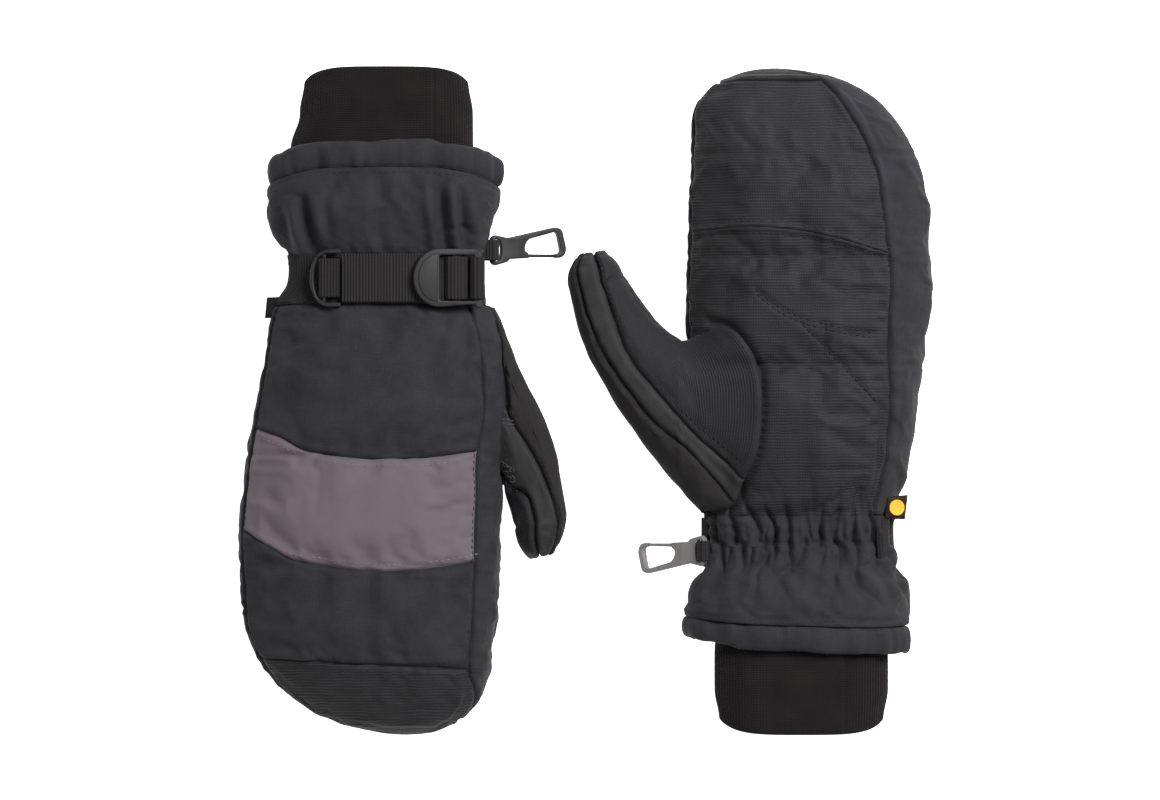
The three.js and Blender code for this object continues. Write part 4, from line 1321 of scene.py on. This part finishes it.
def pull_ring(side):
    """The half-round ring on the free end of the webbing, and the end folded round its bar."""
    at = strap_frame(middle_of(side), -21.25, 0.1)
    reach, half, arm, bar0, bar1 = 15.5, 14.3, 2.0, -9.0, -7.4
    shoulder = bar1 + 1.4
    outer = [(0, arm - half), (0, -half)] + arc((shoulder, 0), (reach + shoulder, half), 270, 90, 48)
    outer += [(0, half), (0, half - arm), (bar1, half - arm)]
    inner = arc((bar0, 0), (reach + bar0 - 2, half - 3.2), 90, 270, 48)
    plate("pull_ring", side, [outer + inner + [(bar1, arm - half)]], 3.0, at, "plastic", "pull_ring",
          ("pull_ring",), 0.65)
    rod = rounded([(bar0, -half + 2.4), (bar1, -half + 2.4), (bar1, half - 2.4), (bar0, half - 2.4)], 0.3)
    plate("pull_ring_bar", side, [rod], 1.2, at, "plastic", "pull_ring", (), 0.4, 1.2)
    around = np.radians(np.linspace(90, 270, 24))
    bend = np.array([-9.3, 1.8]) + 0.95 * np.stack([np.cos(around), np.sin(around)], -1)
    path = np.concatenate([[[-0.5, 2.75], [-5, 2.75]], bend, [[-5, 0.85], [-0.5, 0.85]]])
    fold = bent_tape("pull_fold", side, at, path[::-1], WEB_WIDTH - 4.8, 0.85, "webbing", "pull_ring",
                     "pull_fold")


def clip(side):
    """The moulded snap clip: eye and hook in one, and its thin springy gate."""
    form = FORMS[side]
    place = np.array(form["clip_at"], float)
    at = (place, *tilted(math.radians(form["clip_droop"])))
    # the left mitten's clip material is black plastic painted grey as a painted reflection
    slot = f"clip_{side}"
    body = traced((20.3, 3.7), (9.6, 4.4), (8.2, 5.8), (1.5, 7.6), ((-1.1, 7), (-1.1, 4)), (-1.1, -4),
                  ((-1.1, -7), (1.5, -7.6)), (8.6, -6.4), (12, -7.1), (35.3, -12.2),
                  ((39.6, -12.4), (40.3, -9.4)), (42.2, -1.9), ((42, 3.2), (37.5, 3.2)), (35.9, 3.2),
                  (35.9, 1.3), (37.6, 1.1),
                  ((39.4, 0.4), (39, -1.3)), (37.4, -8.2), ((36.6, -10.2), (34.6, -9.6)), (21, -6),
                  ((17.6, -3.6), (18.4, 0)), (20.3, 1.2))
    eye = traced((1.1, -4.6), (1.1, 4.6), ((1.2, 5.8), (2.4, 5.6)), (3.7, 5.2), ((4.9, 2.6), (4.9, 0)),
                 ((4.9, -2.6), (3.7, -5.2)), (2.4, -5.6), ((1.2, -5.8), (1.1, -4.6)))
    plate("clip_hook", side, [body, eye[:-1]], 3.2, at, slot, "clip", ("clip_hook",), 0.6, -1.6)
    arm = rounded([(20.9, 1.6), (35.4, 1.5), (35.4, 3), (20.9, 3.3)], 0.3, 3)
    plate("clip_gate", side, [arm], 2.4, at, slot, "clip_gate", ("clip_gate",), 0.3, -1.2)
    around = np.radians(np.linspace(-90, 90, 30))
    ends = [(-7, 1.4), (-4, 1.9), (-1.6, 2.3)] if side == "right" else [(-2.6, 2.0), (-1.6, 2.3)]
    bend = 2.3 * np.stack([np.cos(around), np.sin(around)], -1)
    path = np.concatenate([[(x, -z) for x, z in ends], bend, ends[::-1]])
    level = (place, *tilted(0))
    loop = bent_tape("clip_loop", side, level, path[::-1], 10.4, 1.1, "webbing", "mitten", "clip_loop", 1.2)


# ---- Labels ----


def slab(corners, out, thick, steps=8):
    """A thin sheet between four corners, slightly bowed."""
    a, b, c, d = (np.asarray(p, float) for p in corners)
    s, t = np.meshgrid(np.linspace(0, 1, steps), np.linspace(0, 1, steps), indexing="ij")
    s, t = s[..., None], t[..., None]
    top = (a * (1 - t) + b * t) * (1 - s) + (d * (1 - t) + c * t) * s
    top = top + np.asarray(out) * (0.5 * np.sin(np.pi * s) * np.sin(np.pi * t))
    low = top - np.asarray(out) * thick
    return closed_sheet(top, low, np.concatenate([s * 12, t * 10], -1))


def side_label(side, hand):
    """A small folded label in the little finger seam: plain on one mitten, with a plain disc on the other."""
    if side == "right":
        corners = [(-47, 9.0, 4), (-54.4, 9.2, 2.5), (-55.4, 19.6, 2.5), (-49, 19.6, 4)]
        points, faces, uv = slab(corners, (0, 0, 1), 1.0)
        obj = piece("side_label", side, points, faces, M["tag"], uv=uv)
        weld(obj)
        return stands_for(obj, side, "side_label", slot="label")
    corners = np.array([(-37.5, 11, 0), (-47.6, 10.5, 0), (-49, 22.8, 0), (-38.5, 21.8, 0)])
    on_palm = hand.over(corners[[0, 3], 0], corners[[0, 3], 1], palm=True)[0][:, 2].min()
    corners[:, 2] = on_palm + np.array([-0.3, 2.5, 2.5, -0.3])
    out = np.array([-0.27, 0, -0.963])
    points, faces, uv = slab(corners, out, 0.8)
    obj = piece("side_label", side, points, faces, M["label"], uv=uv)
    weld(obj)
    stands_for(obj, side, "side_label", slot="label")
    middle = corners.mean(0) + out * 1.15
    x = corners[1] - corners[0]
    x /= np.linalg.norm(x)
    y = np.cross(out, x)
    turns = np.radians(np.arange(0, 360, 8))
    disc = [middle] + [middle + (x * math.cos(t) + y * math.sin(t)) * 3.9 for t in turns]
    base = [p - out * 0.9 for p in disc]
    n = len(turns)
    faces = [(0, 1 + i, 1 + (i + 1) % n) for i in range(n)]
    faces += [(1 + (i + 1) % n, 1 + i, n + 2 + i, n + 2 + (i + 1) % n) for i in range(n)]
    faces += [(n + 1, n + 2 + (i + 1) % n, n + 2 + i) for i in range(n)]
    uv = [(3 * math.cos(t), 3 * math.sin(t)) for t in turns]
    obj = piece("label_disc", side, np.array(disc + base), faces, M["mark"], uv=[(0, 0)] + uv + [(0, 0)] + uv,
                smooth=False)
    weld(obj)


# ---- Sewing ----


def offset(path, by):
    return [(u, v + by) for u, v in path]


def sewing(side, hand, thumb):
    """Every row of thread that shows."""
    form = FORMS[side]
    tip_v = form["tip"][1]
    clear = [(u, v) for u, v in PATCH_START if -60 < u < 55]
    clear_end = [(u, v) for u, v in PATCH_END if -62 < u < 55]
    runs = [run_over(hand, offset(clear, 3.4)), run_over(hand, offset(clear_end, -3.4))]
    sewn(side, "patch_stitching", runs, "thread_grey", length=2.3, pitch=3.1)
    runs = [run_over(hand, offset([(-54, 189.3), (0, 192), (50, 195)], by)) for by in (-2.6, 2.8)]
    for turn in (INDEX_SEAM + 2.6, BACK_PINKY_SEAM - 3.5):
        runs.append(run_on(hand, (17, tip_v - 38), (turn, turn)))
    sewn(side, "back_stitching", runs, "thread")
    sewn(side, "palm_stitching", [run_over(hand, path, True) for path in PALM_STITCHED], "thread")
    runs = [run_on(hand, (form["hem_seam"] + 2.6,) * 2, (9, 369), count=500),
            run_on(hand, (WRIST_SEAM + 2.6,) * 2, (9, 170))]
    sewn(side, "gauntlet_stitching", runs, "thread")
    along = np.linspace(-0.9, 1.75, 400)
    runs = []
    for name, by, start in (("pad_palm", -5, -0.9), ("palm", 6, -0.9), ("back", -6, 0.1),
                            ("pad_back", 6, 0.1)):
        kept = along[along > start]
        places, out = thumb.at(kept, smooth_at(THUMB_SEAMS[name], kept) + by)
        runs.append((places + out * 0.1, out))
    runs.append(run_on(thumb, (-0.93, -0.93), (4, 90), count=300))
    sewn(side, "thumb_stitching", runs, "thread", blended=True, length=2.2, pitch=3.0, radius=0.28)
    if side == "right":
        runs = [thumb.over(path) for path in THUMB_TACKS]
        sewn(side, "thumb_tacks", runs, "thread_tack", blended=True, length=2.6, pitch=2.8, radius=0.34)


def sewn(side, name, runs, thread, blended=False, **size):
    points, faces = stitches(runs, **size)
    obj = piece(name, side, points, faces, M[thread], None if blended else "mitten")
    if blended:
        bend_at_thumb(obj)


# ---- Build ----


def mitten(side):
    hand = Hand(side)
    thumb = Thumb(side, hand)
    form = FORMS[side]
    tip_v = form["tip"][1]
    rows = form["hem_seam"] + (tip_v - 0.3 - form["hem_seam"]) * np.linspace(0, 1, SIM_ROWS)
    seam_angles = [(angle, WRIST_SEAM, tip_v)
                   for angle in (INDEX_SEAM, BACK_PINKY_SEAM, PALM_PINKY_HELD, PALM_INDEX_SEAM)]
    simulate(hand, rows, SIM_SEAMS, seam_angles, SIM_CAP["hand"])
    strips = [(smooth_at(table, 0.9), 0, 2) for table in THUMB_SEAMS.values()]
    simulate(thumb, np.linspace(0, 1.985, 48), (0,), strips, SIM_CAP["thumb"])
    shell(side, hand)
    layers(side, hand, thumb)
    thumb_strips(side, thumb)
    hem(side, hand)
    knit_cuff(side)
    strap(side, hand)
    buckle(side)
    pull_ring(side)
    clip(side)
    side_label(side, hand)
    sewing(side, hand, thumb)


def stage():
    """A white floor, and soft light from above."""
    bpy.ops.mesh.primitive_plane_add(size=4, location=(0, 0, -0.0003))
    floor = bpy.context.object
    floor.name = "floor"
    white = bpy.data.materials.new("white_floor")
    white.use_nodes = True
    surface = white.node_tree.nodes["Principled BSDF"]
    surface.inputs["Base Color"].default_value = (0.95, 0.95, 0.95, 1)
    surface.inputs["Roughness"].default_value = 1
    surface.inputs["Specular IOR Level"].default_value = 0
    surface.inputs["Emission Color"].default_value = (1, 1, 1, 1)
    surface.inputs["Emission Strength"].default_value = 1.0
    floor.data.materials.append(white)
    world = bpy.data.worlds.new("studio")
    world.use_nodes = True
    world.node_tree.nodes["Background"].inputs["Color"].default_value = (1, 1, 1, 1)
    world.node_tree.nodes["Background"].inputs["Strength"].default_value = 0.22
    bpy.context.scene.world = world
    for name, place, size, power in (("key", (1.0, 0.9, 1.5), 0.9, 68), ("fill", (-1.2, -0.2, 1.3), 1.6, 7),
                                     ("low", (-0.2, -1.4, 1.1), 1.4, 5)):
        light = bpy.data.lights.new(name, "AREA")
        light.size = size
        light.energy = power
        lamp = bpy.data.objects.new(name, light)
        lamp.location = place
        lamp.rotation_euler = (-Vector(place)).to_track_quat("-Z", "Y").to_euler()
        bpy.context.scene.collection.objects.link(lamp)


def camera():
    """Straight above the pair, 580 mm wide at a distance of 2 m."""
    lens = bpy.data.cameras.new("camera")
    lens.sensor_width = 36
    lens.lens = lens.sensor_width * 2.0 / 0.58
    lens.clip_end = 10
    view = bpy.data.objects.new("camera", lens)
    view.location = (-0.00255, 0.00065, 2.03)
    bpy.context.scene.collection.objects.link(view)
    bpy.context.scene.camera = view


bpy.context.scene.view_settings.view_transform = "Standard"
for side in FORMS:
    mitten(side)
stage()
camera()
